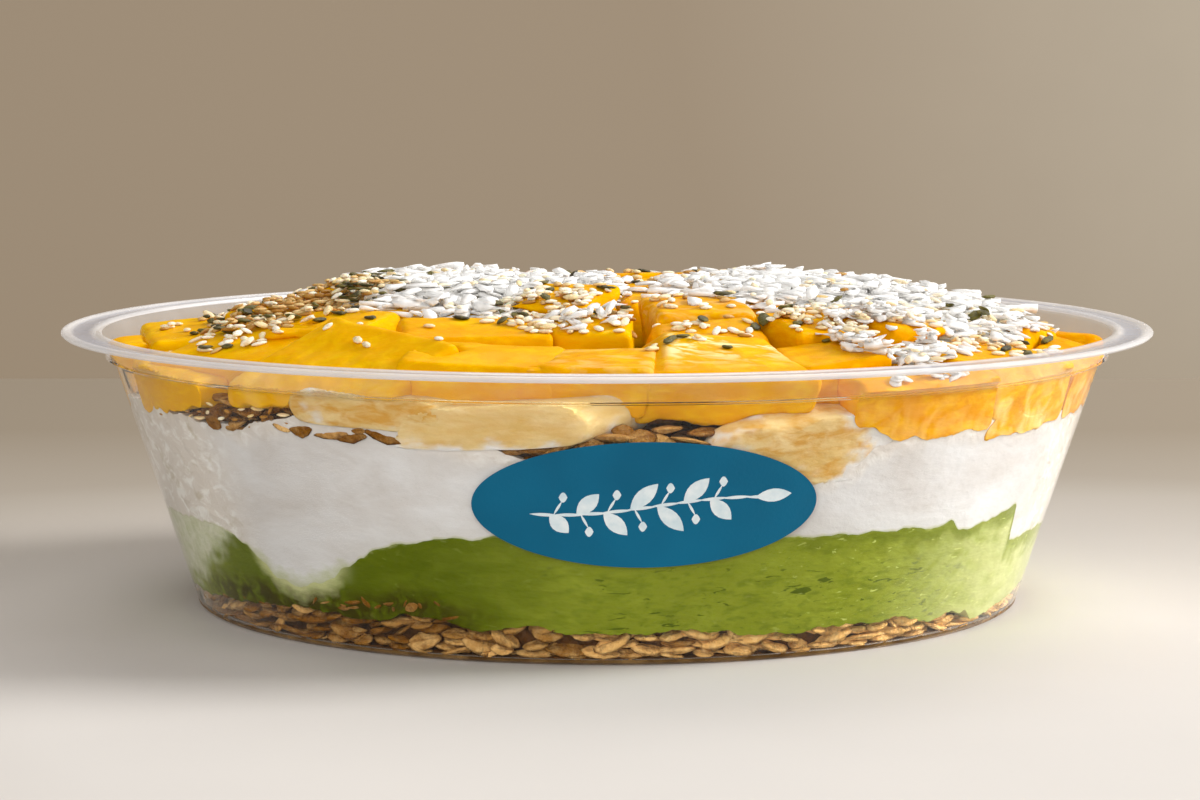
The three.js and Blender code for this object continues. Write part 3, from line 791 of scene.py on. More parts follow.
def green_look(x, y, z):
    azimuth = azimuth_of(x, y)
    streak = rough(((x + 0.8 * z, y, 2.2 * z), 4.0, 1), ((x, y, z), 1.3, 0.5))
    below = max(0.0, GREEN_TOP(azimuth) - z)
    along = RUN_PER_DEGREE * azimuth
    slant = noise.noise(Vector(((along - z) / 1.6, (along + z) / 9.0, 3.0)))
    milk = (0.9 * swell(RUN_PER_DEGREE * (z - 17.3) - 51.8 - azimuth + 3 * streak, -2.5, 4.5)
            * (1 - swell(-azimuth, 80, 110)) * swell(z + 2 * streak, 5, 9))
    cloud = (0.9 + 0.3 * streak + 0.5 * slant * (1 - swell(azimuth, 46, 56))) * (
        0.15 + 0.85 * swell(below + 2.5 * streak, 0.5, 5))
    # A pale haze over the right side: painted reflection, broken into clouds and slanting streaks.
    haze = 0.75 * swell(azimuth, 30, 64) * (1 - swell(azimuth, 90, 130)) * max(0.0, min(1.0, cloud))
    lime = 0.55 * band(azimuth, 12, 28, 60, 62) * (1 - swell(below + 2 * streak, 0.8, 3.6))
    # Deeper green: painted shade on the left, and the lime band along the top edge on the right.
    deep = max(band(azimuth, -75, -45, -22, 6), lime)
    leafy = 0.25 + 0.75 * band(azimuth, -14, 4, 44, 60) * swell(below, 3, 7)
    specked = 0.1 + 0.9 * band(azimuth, 14, 34, 70, 100)
    mixed = 0.85 * band(azimuth, -75, -55, -24, -10) * (1 - swell(z - BASE_TOP(azimuth), 1.0, 4.6))
    return haze, deep, milk, min(1.0, below / 10), yogurt_run(azimuth), leafy, specked, mixed


def white_look(x, y, z):
    azimuth = azimuth_of(x, y)
    torn = max(band(azimuth, -110, -80, -56, -44), band(azimuth, 58, 70, 80, 110),
               0.6 * (1 - swell(WHITE_TOP(azimuth) - z, 1, 4)))
    return torn, min(1.0, max(0.0, z - GREEN_TOP(azimuth)) / 10), yogurt_run(azimuth)


def layers():
    green = layer("green_smoothie_body", lambda a: BASE_TOP(a) - 1.2, GREEN_TOP, (5.6, 20.5), 0.6, side_rows=26)
    painted(green, "haze deep milk under drip leafy specked mixed", green_look)
    ready(green, green_smoothie(), "green_smoothie", "green_layer")
    white = layer("white_yogurt_body", GREEN_TOP, WHITE_TOP, (20.4, 39.4), 0.8, side_rows=34)
    painted(white, "torn rise drip", white_look)
    ready(white, white_yogurt(), "white_yogurt", "white_layer")
    crumb = granola_crumb_and_gap_shade()
    base = layer("granola_base_core", lambda a: FLOOR - BITE, lambda a: BASE_TOP(a) + 0.2, (FLOOR - BITE, 6.0), 0.8,
                 into=lambda height: 0.07 - 2.3 * swell(height, FLOOR + 0.1, FLOOR + 0.7), side_rows=30)
    ready(base, crumb, "granola", "granola_base")
    upper = layer("granola_upper_core", lambda a: WHITE_TOP(a) - 1.0, lambda a: WHITE_TOP(a) + 1.2, (39.0, 42.6),
                  1.0, into=lambda height: -2.2, side_rows=4)
    ready(upper, crumb, "granola", "granola_top")
    return {"green": green, "white": white, "base": base, "upper": upper}


# ------------------------------------------------------------------ fruit
DRIFTS = Vector((46, 0, 0)), Vector((24, 0, 0))  # two places in the noise, for how far cuts run askew in x and y
DRIFT_LENGTH = 9.0
GROWN, TRIMMED = 0.5, -0.1  # how far a piece is grown before its second smoothing, and trimmed after it
TORN_FOOT = 0.9  # how far the foot of a mango chunk is torn up and down


def cut_fruit(node, name, voxel, passes):
    """A piece of fruit from its plain solid: edges worn soft, thin slivers thickened, and grown to touch its
    neighbours. All pieces are drawn askew alike, so that their cuts run unevenly and still meet."""
    piece = own_copy(node, name)
    for rounds, swelling in ((passes, GROWN), (2, TRIMMED)):
        modify(piece, "REMESH", mode="VOXEL", voxel_size=voxel * MM, adaptivity=0.0)
        modify(piece, "SMOOTH", factor=0.5, iterations=rounds)
        modify(piece, "DISPLACE", strength=swelling * MM, mid_level=0.0)
    co = corners(piece) / MM
    for i, place in enumerate(co):
        spot = Vector(place) / DRIFT_LENGTH
        co[i, 0] += noise.noise(spot + DRIFTS[0])
        co[i, 1] += noise.noise(spot + DRIFTS[1])
    set_corners(piece, co * MM)
    uneven(piece, clouds("broad_waves", 7.0), 0.35)
    uneven(piece, clouds("fine_waves", 1.8), 0.05)
    return piece


FLAT_GAP, GAP_EASE, NEAR_GAP = 0.8, 0.9, 1.7  # to the wall: flat against it, eased over so much more, left alone


def pressed(piece, bite):
    """Flattens what lies near the wall against it, so that it reaches into the plastic by bite(x, y, z)."""
    co = corners(piece) / MM
    for i, (x, y, z) in enumerate(co):
        reach = math.hypot(x, y)
        face = inner_radius(z) + bite(x, y, z)
        gap = face - reach
        if reach > 40 and gap < NEAR_GAP:
            gap = 0.0 if gap < FLAT_GAP else (gap - FLAT_GAP) * NEAR_GAP / GAP_EASE
            co[i, :2] *= (face - gap) / reach
    return smooth(set_corners(piece, co * MM), 50)


# How pale the tops of these chunks are streaked: fibres, partly painted highlight.
PALE_MANGO = {"mango_04": 0.95, "mango_03": 0.2, "mango_18": 0.2}
SMEARED_FEET = {"mango_06": 0.45, "mango_07": 0.9, "mango_08": 0.9, "mango_09": 0.7, "mango_10": 0.4, "mango_01": 0.3}
# how far a piece has sunk at its foot, in millimetres
HANGS = {"banana_1": -1.2, "mango_06": 2.2, "mango_07": 3.4, "mango_08": 3.2, "mango_09": 3.2, "mango_10": 2.0,
         "mango_11": 1.5, "mango_12": 1.6, "mango_13": 1.0, "mango_14": 2.0}
# spread softly along the wall, from this x and by so much
SPREAD = {"banana_1": (-62, 1.13), "banana_2": (7, 1.12), "mango_02": (-31, 1.09), "mango_03": (-12, 1.15)}
LEANS_OUT = {"banana_1": 2.6, "banana_2": 2.2}
FRONT = 76  # how far in front of the middle they lie
PARED = (9.0, 44.0)  # the pared corner of mango_04: how far it comes in, and how low it goes
RIPE = {"banana_1": 0.8, "banana_3": 0.8}
FAR_END = (34, 44)  # where the yogurt laps over banana_3


def span(node):
    """A node's lowest and highest corner, in millimetres."""
    return [np.array(corner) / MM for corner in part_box(node)]


def sunk(node, piece):
    """Lets a piece settle: lower at its foot, or spread sideways."""
    low, high = span(node)
    co = corners(piece) / MM
    co[:, 2] = high[2] - (high[2] - co[:, 2]) * (1 + HANGS.get(node, 0) / (high[2] - low[2]))
    if node.startswith("mango"):
        torn = np.array([rough(((x, y, 0), 3.5, 1), ((x, y, 9), 1.3, 0.25)) for x, y, _ in co])
        co[:, 2] += TORN_FOOT * torn * np.clip((high[2] - co[:, 2]) / (high[2] - low[2]), 0, 1) ** 2
    start, grow = SPREAD.get(node, (0, 1))
    co[:, 0] = start + (co[:, 0] - start) * grow
    co[:, :2] *= 1 + LEANS_OUT.get(node, 0) / FRONT
    if node == "mango_04":
        side, foot = PARED
        keep = 1 - np.clip((side - co[:, 0]) / side, 0, 1)
        co[:, 2] = np.where(co[:, 2] > foot, foot + (co[:, 2] - foot) * keep, co[:, 2])
    set_corners(piece, co * MM)


def mango_chunk(node, lap, chance):
    """A chunk that reaches into the wall a little more than its neighbours, by lap from 0 to 4, where they cross."""
    piece = cut_fruit(node, node.replace("mango", "mango_chunk"), 0.55, 3)
    sunk(node, piece)
    pressed(piece, lambda x, y, z: BITE + 0.14 + 0.02 * lap)
    low, high = span(node)
    ripe = 0.3 + 0.4 * (low[0] + high[0]) / 140 + 0.5 * (chance.random() - 0.5)
    ripe = max(0.0, min(1.0, ripe))

    def look(x, y, z):
        pale = PALE_MANGO.get(node, 0.0) * swell(z, high[2] - 5, high[2] - 1.5)
        if node == "mango_04":
            pale *= swell(x, PARED[0] - 1, PARED[0] + 1)
        return ripe, pale, SMEARED_FEET.get(node, 0.0) * (1 - swell(z, low[2] - 1, high[2] - 2))

    painted(piece, "ripeness pale smeared", look)
    return piece


def banana_slice(node):
    """A slice with yogurt smeared over its edge, and over all that lies beyond across."""
    piece = cut_fruit(node, node.replace("banana", "banana_slice"), 0.7, 6)
    low, high = span(node)
    sunk(node, piece)
    buried = node == "banana_3"
    more, covered = (0.09, 0.3) if buried else (0.3, 0.0)
    pressed(piece, lambda x, y, z: BITE + more * (0.4 + 0.6 * swell(z - low[2], 0.4, 3))
            + rough(((x, y, 2.5 * z), 4.0, 0.09)) - covered * swell(x + rough(((x, y, z), 2.6, 7)), *FAR_END))

    def look(x, y, z):
        across, up = [2 * (v - (a + b) / 2) / (b - a) for v, a, b in ((x, low[0], high[0]), (z, low[2], high[2]))]
        streak = rough(((x, y, 2 * z), 3.5, 1), ((x, y, 2 * z), 1.2, 0.5))
        soft = 0.7 * swell(across, 0.0, 0.8) if buried else 0.0
        if node == "banana_1":
            across = max(-0.7, min(across, 0.2))
        elif node == "banana_2":
            across = max(across, -0.2)
        smeared = swell(math.hypot(across, up if up < 0 else 0.4 * up) + 0.5 * streak + soft, 0.66, 1.25)
        return smeared, RIPE.get(node, 0.25)

    painted(piece, "yogurt ripe", look)
    return piece


def fruit():
    chance = random.Random(11)
    mango, banana = mango_flesh(), banana_flesh()
    pieces = []
    for node in sorted(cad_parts):
        if node.startswith("mango"):
            pieces.append(ready(mango_chunk(node, len(pieces) % 5, chance), mango, "mango", node))
        elif node.startswith("banana"):
            pieces.append(ready(banana_slice(node), banana, "banana", node))
    return pieces


# ------------------------------------------------------------------ the sticker
LABEL_AZIMUTH, LABEL_HEIGHT, LABEL_WIDE, LABEL_TALL = 4.35, 26.0, 52.2, 20.9
RISE = 0.948  # height for each millimetre up the slanting wall
PAPER_LIFT, PAPER_THICK = 0.06, 0.1
INK_LIFT, INK_THICK = 0.165, 0.03


def wrapped(piece, lift):
    """Lays a flat piece, modelled round the origin, on the outside of the bowl at the label's place."""
    placed = []
    for x, y, _ in corners(piece) / MM:
        height = LABEL_HEIGHT + y * RISE
        radius = outer_radius(height) + lift
        placed.append(around(math.radians(LABEL_AZIMUTH) + math.asin(x / radius), radius, height))
    return set_corners(piece, np.array(placed) * MM)


def sticker():
    deselect()
    bpy.ops.mesh.primitive_circle_add(vertices=128, radius=1.0, fill_type="NGON")
    piece = named("front_sticker")
    edit(piece, "ALL")
    for _ in range(9):
        bpy.ops.mesh.inset(thickness=0.1, depth=0)
    bpy.ops.mesh.poke()
    leave()
    piece.scale = (LABEL_WIDE / 2 * MM, LABEL_TALL / 2 * MM, 1)
    wrapped(settle(piece), PAPER_LIFT)
    modify(piece, "SOLIDIFY", thickness=PAPER_THICK * MM, offset=1.0)
    ready(smooth(piece, 40), sticker_paper(), "sticker", "label")


STEM_WAVE = 9.0


def leaf(x, y, angle, long, wide):
    """A flat pointed leaf whose stalk end is at x, y in millimetres."""
    deselect()
    bpy.ops.mesh.primitive_circle_add(vertices=20, radius=1.0, fill_type="TRIFAN")
    piece = named("leaf")
    co = corners(piece)
    co[:, 1] *= np.sqrt(np.clip(1 - co[:, 0] ** 2, 0, 1))
    co[:, 0] += 1
    co *= (long / 2 * MM, wide / 2 * MM, 1)
    set_corners(piece, co)
    piece.rotation_euler.z = math.radians(angle)
    piece.location = (x * MM, y * MM, 0)
    return settle(piece)


def sprig():
    """A printed leafy sprig with berries, in pale ink."""
    def stem(x):
        return 1.3 * math.sin(x / STEM_WAVE) - 0.3

    parts = [leaf(x, stem(x), 7 * math.cos(x / STEM_WAVE), 4.6, 0.55) for x in np.arange(-17.5, 15, 3.6)]
    for i, x in enumerate(np.arange(-14.5, 13.5, 4.0)):
        way = 1 if i % 2 else -1
        parts.append(leaf(x, stem(x), way * 46, 6.2 - 0.14 * abs(x), 2.5))
        parts.append(leaf(x + 0.6, stem(x + 0.6), -way * 62, 2.6, 0.4))
        parts.append(leaf(x + 1.3, stem(x) - way * 2.9, 0, 1.3, 1.7))
    parts.append(leaf(16.5, stem(16.5), 4, 5.6, 2.2))
    deselect()
    for part in parts:
        part.select_set(True)
    bpy.context.view_layer.objects.active = parts[0]
    bpy.ops.object.join()
    piece = wrapped(named("sticker_sprig"), INK_LIFT)
    modify(piece, "SOLIDIFY", thickness=INK_THICK * MM, offset=1.0)
    ready(smooth(piece, 40), sticker_ink(), "sticker")


# ------------------------------------------------------------------ small things
class Shape:
    """A small thing modelled once: its corners in millimetres, its faces, and how near its rim each corner is."""

    def __init__(self, piece):
        co = corners(piece) / MM
        self.co = co
        self.half = np.abs(co).max(0)
        self.faces = [tuple(p.vertices) for p in piece.data.polygons]
        reach = np.sqrt((co[:, 0] / self.half[0]) ** 2 + (co[:, 1] / self.half[1]) ** 2)
        self.rim = np.clip(reach, 0, 1)
        self.across = co[:, 1] / self.half[1]
        bpy.data.objects.remove(piece)


def pebble(name, segments, rings, size, texture, strength, at):
    """A small rounded thing: a ball pressed to size, with dents that differ by where it was made."""
    deselect()
    bpy.ops.mesh.primitive_uv_sphere_add(segments=segments, ring_count=rings, radius=0.5 * MM)
    piece = named(name)
    piece.scale = size
    settle(piece)
    piece.location = at
    settle(piece)
    return centred(uneven(piece, texture, strength))


def oat_shapes():
    """Rolled oats: pressed ovals, pointed at the ends, creased along the middle and a little cupped."""
    dents = clouds("flake_dents", 2.4)
    made = []
    for i, size in enumerate([(7.4, 4.2, 1.2), (6.2, 4.2, 1.3), (7.8, 3.6, 1.1), (5.4, 3.6, 1.3), (4.2, 2.7, 1.1)]):
        piece = pebble("oat", 10, 6, size, dents, 0.6, (0.02 * i, 0.013 * i, 0))
        co = corners(piece) / MM
        share = np.clip(np.abs(co[:, 0]) / (0.5 * size[0]), 0, 1)
        co[:, 1] *= np.sqrt(1 - 0.75 * share ** 2)
        co[:, 2] *= 1 - 0.3 * share ** 2
        crease = 0.35 * np.exp(-(co[:, 1] / 0.5) ** 2) * (1 - share)
        co[:, 2] -= np.sign(co[:, 2]) * crease
        co[:, 2] += 0.06 * (co[:, 0] ** 2) / size[0] * (1 if i % 2 else -1)
        set_corners(piece, co * MM)
        made.append(Shape(piece))
    return made


SHRED_THICK = 0.5


def shred_shapes():
    """Coconut cut into short flat strips, most nearly straight."""
    made = []
    for i, (long, wide, curl, twist) in enumerate([
            (5.8, 1.6, 24, 20), (4.8, 1.4, -32, 45), (7.4, 1.4, 40, -40), (3.8, 1.9, 12, 25), (5.6, 1.1, -60, 50),
            (3.0, 1.5, 20, 60), (4.6, 2.2, 28, -18)]):
        deselect()
        bpy.ops.mesh.primitive_cube_add(size=1)
        piece = named("shred")
        piece.scale = (long * MM, wide * MM, SHRED_THICK * MM)
        settle(piece)
        edit(piece, "ALL")
        for cut in (-0.25, 0, 0.25):
            bpy.ops.mesh.select_all(action="SELECT")
            bpy.ops.mesh.bisect(plane_co=(cut * long * MM, 0, 0), plane_no=(1, 0, 0))
        leave()
        co = corners(piece)
        share = co[:, 0] / (0.5 * long * MM)
        co[:, 1] *= 1 - 0.5 * np.clip(np.abs(share), 0, 1) ** 3 + 0.12 * np.sin(5 * share + i)
        co[:, 2] *= 1 - 0.45 * np.clip(np.abs(share), 0, 1) ** 2
        set_corners(piece, co)
        for method, angle, axis in (("TWIST", twist, "X"), ("BEND", curl, "Z"), ("BEND", 0.5 * curl, "Y")):
            modify(piece, "SIMPLE_DEFORM", deform_method=method, angle=math.radians(angle), deform_axis=axis)
        made.append(Shape(outward(centred(piece))))
    return made


def pebble_shapes(name, rings, dent_size, dent_depth, sizes):
    """Seeds or bits of hull of these lengths, widths and thicknesses."""
    dents = clouds(name + "_dents", dent_size)
    return [Shape(pebble(name, 7, rings, size, dents, dent_depth, (0.02 * i, 0, 0.01 * i)))
            for i, size in enumerate(sizes)]


class Scatter:
    """Many copies of a few shapes, joined into one piece."""

    def __init__(self, name, shapes):
        self.name, self.shapes = name, shapes
        self.co, self.faces, self.tone, self.rim, self.across, self.count = [], [], [], [], [], 0

    def put(self, shape, turn, place, size=1.0, tone=0.5, limit=None):
        """turn is a 3x3 matrix and place the middle, in millimetres. Where limit gives a greatest radius at an
        azimuth and a height, the thing is flattened against it."""
        co = (shape.co * size) @ turn.T + place
        if limit:
            most = np.array([limit(azimuth_of(x, y), z) for x, y, z in co])
            co[:, :2] *= np.minimum(1, most / np.maximum(np.hypot(co[:, 0], co[:, 1]), 0.1))[:, None]
        self.co.append(co)
        self.faces += [tuple(i + self.count for i in face) for face in shape.faces]
        self.tone.append(np.full(len(shape.co), tone))
        self.rim.append(shape.rim)
        self.across.append(shape.across)
        self.count += len(shape.co)

    def made(self, tone_name="shade"):
        mesh = bpy.data.meshes.new(self.name)
        co = np.vstack(self.co) * MM
        co[:, 2] = np.minimum(co[:, 2], CAD_BOX[1][2] - 0.02 * MM)  # nothing stands above the CAD's own heap
        mesh.from_pydata(co.tolist(), [], self.faces)
        piece = from_mesh(self.name, mesh)
        for name, parts in ((tone_name, self.tone), ("rim", self.rim), ("across", self.across)):
            attribute(piece, name, np.concatenate(parts))
        return smooth(piece)


def turn_matrix(yaw, pitch, roll):
    """Roll about its length, then pitch, then yaw about the vertical, in radians."""
    return np.array(Euler((roll, -pitch, yaw), "XYZ").to_matrix())


def tree_of(pieces):
    """The pieces' faces, in millimetres, to cast rays at."""
    verts, faces, start = [], [], 0
    for piece in pieces:
        co = corners(piece) / MM
        verts += [Vector(v) for v in co]
        faces += [tuple(i + start for i in p.vertices) for p in piece.data.polygons]
        start += len(co)
    return BVHTree.FromPolygons(verts, faces)


class Ground:
    """How high things lie at each place, in millimetres. It rises as things are dropped on it, up to its roof."""
    STEP = 0.35
    HALF = 86.0
    REACH = 84.5
    ABOVE = 80.0  # where rays start from
    HELD = 0.8  # share of a thing's length and width that has to lie on something

    def __init__(self, pieces, roof=None):
        tree = tree_of(pieces)
        self.roof = roof
        self.across = int(2 * self.HALF / self.STEP) + 1
        self.height = np.full((self.across, self.across), -1.0)
        down = Vector((0, 0, -1))
        for i in range(self.across):
            for j in range(self.across):
                x, y = i * self.STEP - self.HALF, j * self.STEP - self.HALF
                if x * x + y * y < self.REACH ** 2:
                    hit = tree.ray_cast(Vector((x, y, self.ABOVE)), down)[0]
                    if hit:
                        self.height[i, j] = hit.z

    def spot(self, x, y):
        i, j = int(round((x + self.HALF) / self.STEP)), int(round((y + self.HALF) / self.STEP))
        return (i, j) if 0 <= i < self.across and 0 <= j < self.across else None

    def at(self, x, y):
        spot = self.spot(x, y)
        return self.height[spot] if spot else -1.0

    def lean(self, x, y, ux, uy, half):
        """Height in the middle and slope of a rod of that half length lying at x, y along ux, uy."""
        places = (-1.0, -0.5, 0.0, 0.5, 1.0)
        heights = [self.at(x + ux * half * s, y + uy * half * s) for s in places]
        if min(heights) < 0:
            return None
        best, slope = heights[2], 0.0
        for a in (0, 1):
            for b in (3, 4):
                rise = (heights[b] - heights[a]) / (places[b] - places[a])
                middle = heights[a] - rise * places[a]
                if middle > best:
                    best, slope = middle, rise
        return best, slope / half

    def drop(self, x, y, yaw, shape, size, sink, steepest, over, lift=0.0):
        """Where a thing comes to rest: its turn and middle. None if it would lie off the heap, or reach more than
        over above the roof. With lift, one end sticks up."""
        long, wide, thick = shape.half * size
        ux, uy = math.cos(yaw), math.sin(yaw)
        along = self.lean(x, y, ux, uy, long * self.HELD)
        across = self.lean(x, y, -uy, ux, max(wide, 0.5) * self.HELD)
        if along is None or across is None:
            return None
        slope = max(-steepest, min(steepest, along[1])) + lift
        tip = max(-steepest, min(steepest, across[1]))
        z = max(along[0], across[0]) + thick * (1 - sink) + abs(lift) * long * 0.6
        top = z + 0.8 * thick + abs(slope) * long * 0.8
        if top > min(HEAP_TOP - HEADROOM, self.roof.at(x, y) + over if self.roof else NO_ROOF):
            return None
        self.cover(x, y, ux, uy, long, wide, slope, z + thick * 0.55)
        return turn_matrix(yaw, math.atan(slope), math.atan(tip)), np.array((x, y, z))

    def cover(self, x, y, ux, uy, long, wide, slope, top):
        for s in np.arange(-long, long + 0.01, self.STEP):
            for w in np.arange(-wide, wide + 0.01, self.STEP):
                spot = self.spot(x + ux * s - uy * w, y + uy * s + ux * w)
                if spot and self.height[spot] < top + slope * s:
                    self.height[spot] = top + slope * s


def inside(x, y, reach, height):
    limit = inner_radius(height) if height < LEDGE_HEIGHT + 1 else RIM_INNER - 1.8
    return math.hypot(x, y) + reach < limit


def sprinkle(ground, heap, chance, zone, count, sizes=(0.85, 1.15), sink=0.25, steepest=0.5, over=2.0, even=False,
             tones=(0, 1), loose=0.0):
    """Drops this many of the heap's shapes in an oval zone: evenly, or thick in its middle and thin at its edge."""
    x0, y0, long, wide = zone
    for _ in range(count):
        angle, share = chance.uniform(0, 2 * math.pi), math.sqrt(chance.random())
        if not even and chance.random() < 0.6:
            share = min(abs(chance.gauss(0, 0.5)), 1.15)
        x, y = x0 + long * share * math.cos(angle), y0 + wide * share * math.sin(angle)
        shape = chance.choice(heap.shapes)
        size = chance.uniform(*sizes)
        yaw, tone = chance.uniform(0, 2 * math.pi), chance.uniform(*tones)
        if inside(x, y, shape.half[0] * size, ground.at(x, y)):
            rest = ground.drop(x, y, yaw, shape, size, sink, steepest, over, chance.gauss(0, loose) if loose else 0)
            if rest:
                heap.put(shape, *rest, size, tone)


def against_wall(heap, chance, azimuths, heights, count, apart, press=0.45, depth=0.4, lean=0.5, astray=0.35,
                 sizes=(0.85, 1.15), toast=lambda azimuth: 0.5, bite=lambda azimuth, height: 0.25,
                 free=lambda azimuth, height: True):
    """Packs flakes against the inside of the wall, between two heights that may follow the azimuth, no two nearer
    than apart. Each lies along the wall, leaning towards it about its length by some angle. It is pressed into the
    wall by up to press, or lies back from it by up to depth, and is flattened where it would reach in by more than
    bite."""
    taken = []
    for _ in range(count * 8):
        if len(taken) >= count:
            break
        azimuth = chance.uniform(*azimuths)
        low, high = heights(azimuth)
        height = chance.uniform(low, max(low + 0.1, high))
        along = math.radians(azimuth) * inner_radius(height)
        if not free(azimuth, height):
            continue
        if any(abs(along - a) < apart * FLAKE_ROW and abs(height - h) < apart * FLAKE_RISE for a, h in taken):
            continue
        taken.append((along, height))
        shape, size = chance.choice(heap.shapes), chance.uniform(*sizes)
        a = math.radians(azimuth)
        radial = np.array(around(a, 1))
        turn = turn_matrix(a + chance.gauss(0, astray), chance.gauss(0, 0.5 * astray), chance.gauss(lean, astray))
        co = (shape.co * size) @ turn.T
        height = max(height, FLOOR + 0.08 - co[:, 2].min())
        place = radial * (inner_radius(height) - 4) + np.array((0, 0, height))
        for _ in range(2):
            gap = min(wall_inside(z) - math.hypot(x, y) for x, y, z in co + place)
            place = place + radial * gap
        place += radial * (press - chance.uniform(0, depth))
        tone = min(1.0, max(0.0, chance.gauss(toast(azimuth), 0.25)))
        heap.put(shape, turn, place, size, tone, lambda a, z: wall_inside(z) + bite(a, z))


def lower_granola(chance, oats):
    """Flakes packed against the wall, more in the gaps between them, crumbs in the foot of the smoothie, and a floor
    of flakes."""
    flakes = Scatter("granola_base_flakes", oats)
    # Darker on the left as painted shade, on top of each flake's own toasting.
    look = {"toast": lambda a: 0.9 - 0.85 * swell(a, -40, 25),
            "bite": lambda a, z: 0.1 if z < 2.2 else 0.25 if z < BASE_TOP(a) + 0.4 else 0.0}
    for azimuths, heights, count, apart, how in (
            ((-180, 180), lambda a: (FLOOR + 0.3, FLOOR + 0.9), 110, 2.4, {"lean": 0.2}),
            ((-180, -15), lambda a: (FLOOR + 1.0, BASE_TOP(a) - 0.6), 170, 2.1, {"lean": 0.35}),
            ((-15, 180), lambda a: (FLOOR + 1.3, BASE_TOP(a) - 0.8), 140, 2.4, {"lean": 0.6}),
            ((-180, 180), lambda a: (FLOOR + 0.8, BASE_TOP(a) + 0.2), 330, 1.8, {"press": -0.2, "depth": 2.2})):
        against_wall(flakes, chance, azimuths, heights, count, apart, **how, **look)
    against_wall(flakes, chance, (-40, -20), lambda a: (BASE_TOP(a) - 0.3, BASE_TOP(a) + 1.8), 14, 0.8, press=1.1,
                 depth=0.5, lean=0.7, astray=0.7, sizes=(0.3, 0.6), toast=lambda a: 1.0, bite=lambda a, z: 0.22)
    for _ in range(FLOOR_FLAKES):
        angle, radius = chance.uniform(0, 2 * math.pi), FLOOR_REACH * math.sqrt(chance.random())
        shape, size = chance.choice(oats), chance.uniform(0.85, 1.15)
        turn = turn_matrix(chance.uniform(0, 6.3), chance.gauss(0, 0.12), chance.gauss(0, 0.12))
        low = ((shape.co * size) @ turn.T)[:, 2].min()
        flakes.put(shape, turn, np.array((radius * math.cos(angle), radius * math.sin(angle), FLOOR + 0.05 - low)),
                   size, chance.random())
    return flakes


def upper_granola(chance, oats, body, fruit_pieces):
    """Flakes at the wall where no fruit is, some in the yogurt, and more lying on it near the wall."""
    flakes = Scatter("granola_upper_flakes", oats)
    fruit_tree = tree_of(fruit_pieces)

    def free(azimuth, height):
        """Whether no fruit touches the wall here."""
        for shift in (-1.6, 0, 1.6):
            radial = Vector(around(math.radians(azimuth + shift), 1))
            start = radial * (inner_radius(height) + 6) + Vector((0, 0, height))
            hit = fruit_tree.ray_cast(start, -radial)[0]
            if hit and hit.xy.length > inner_radius(height) - 1.2:
                return False
        return True

    def pack(azimuths, low, high, count, apart, **how):
        against_wall(flakes, chance, azimuths, lambda a: (WHITE_TOP(a) + low, WHITE_TOP(a) + high), count, apart,
                     **how)

    # Flakes on the left are darker, partly as painted shade.
    pack((-13, 18), 0.2, 5, 74, 2.0, lean=0.4, toast=lambda a: 0.7, free=free)
    pack((-15, 18), 0.2, 6, 78, 1.8, press=-0.2, depth=2.4, toast=lambda a: 0.8, free=free)
    pack((-58, -36), 0.1, 4, 60, 1.4, press=0, depth=1.4, sizes=(0.55, 0.9), toast=lambda a: 1.0, free=free)
    for azimuth, height, count in IN_YOGURT:
        against_wall(flakes, chance, (azimuth - 2.2, azimuth + 2.2), lambda a: (height - 0.7, height + 0.7), count,
                     1.7, press=1.3, depth=0.3, lean=0.9, astray=0.3, sizes=(0.6, 1.1), toast=lambda a: 0.95,
                     bite=lambda a, z: 0.3)
    pack((75, 285), 0.2, 3.5, 320, 2.1, depth=1.6)
    ground = Ground([body["white"], body["upper"]])
    for _ in range(RING_FLAKES):
        angle, radius = chance.uniform(0, 2 * math.pi), chance.uniform(*RING_FLAKE_RADII)
        x, y, _ = around(angle, radius)
        shape, size = chance.choice(oats), chance.uniform(0.85, 1.15)
        if inside(x, y, shape.half[0] * size, ground.at(x, y)):
            rest = ground.drop(x, y, chance.uniform(0, 6.3), shape, size, 0.3, 0.9, NO_ROOF)
            if rest:
                flakes.put(shape, *rest, size, chance.random())
    return flakes


def coconut_core(node, finish):
    """A mound sunk under its shreds."""
    core = own_copy(node, node + "_core")
    edit(core, "ALL")
    bpy.ops.transform.translate(value=(0, 0, -1.7 * MM))
    leave()
    modify(core, "REMESH", mode="VOXEL", voxel_size=1.0 * MM)
    modify(core, "SMOOTH", factor=0.5, iterations=4)
    uneven(core, clouds("shred_relief", 2.2), 1.0)
    return ready(smooth(core), finish, "coconut", node)


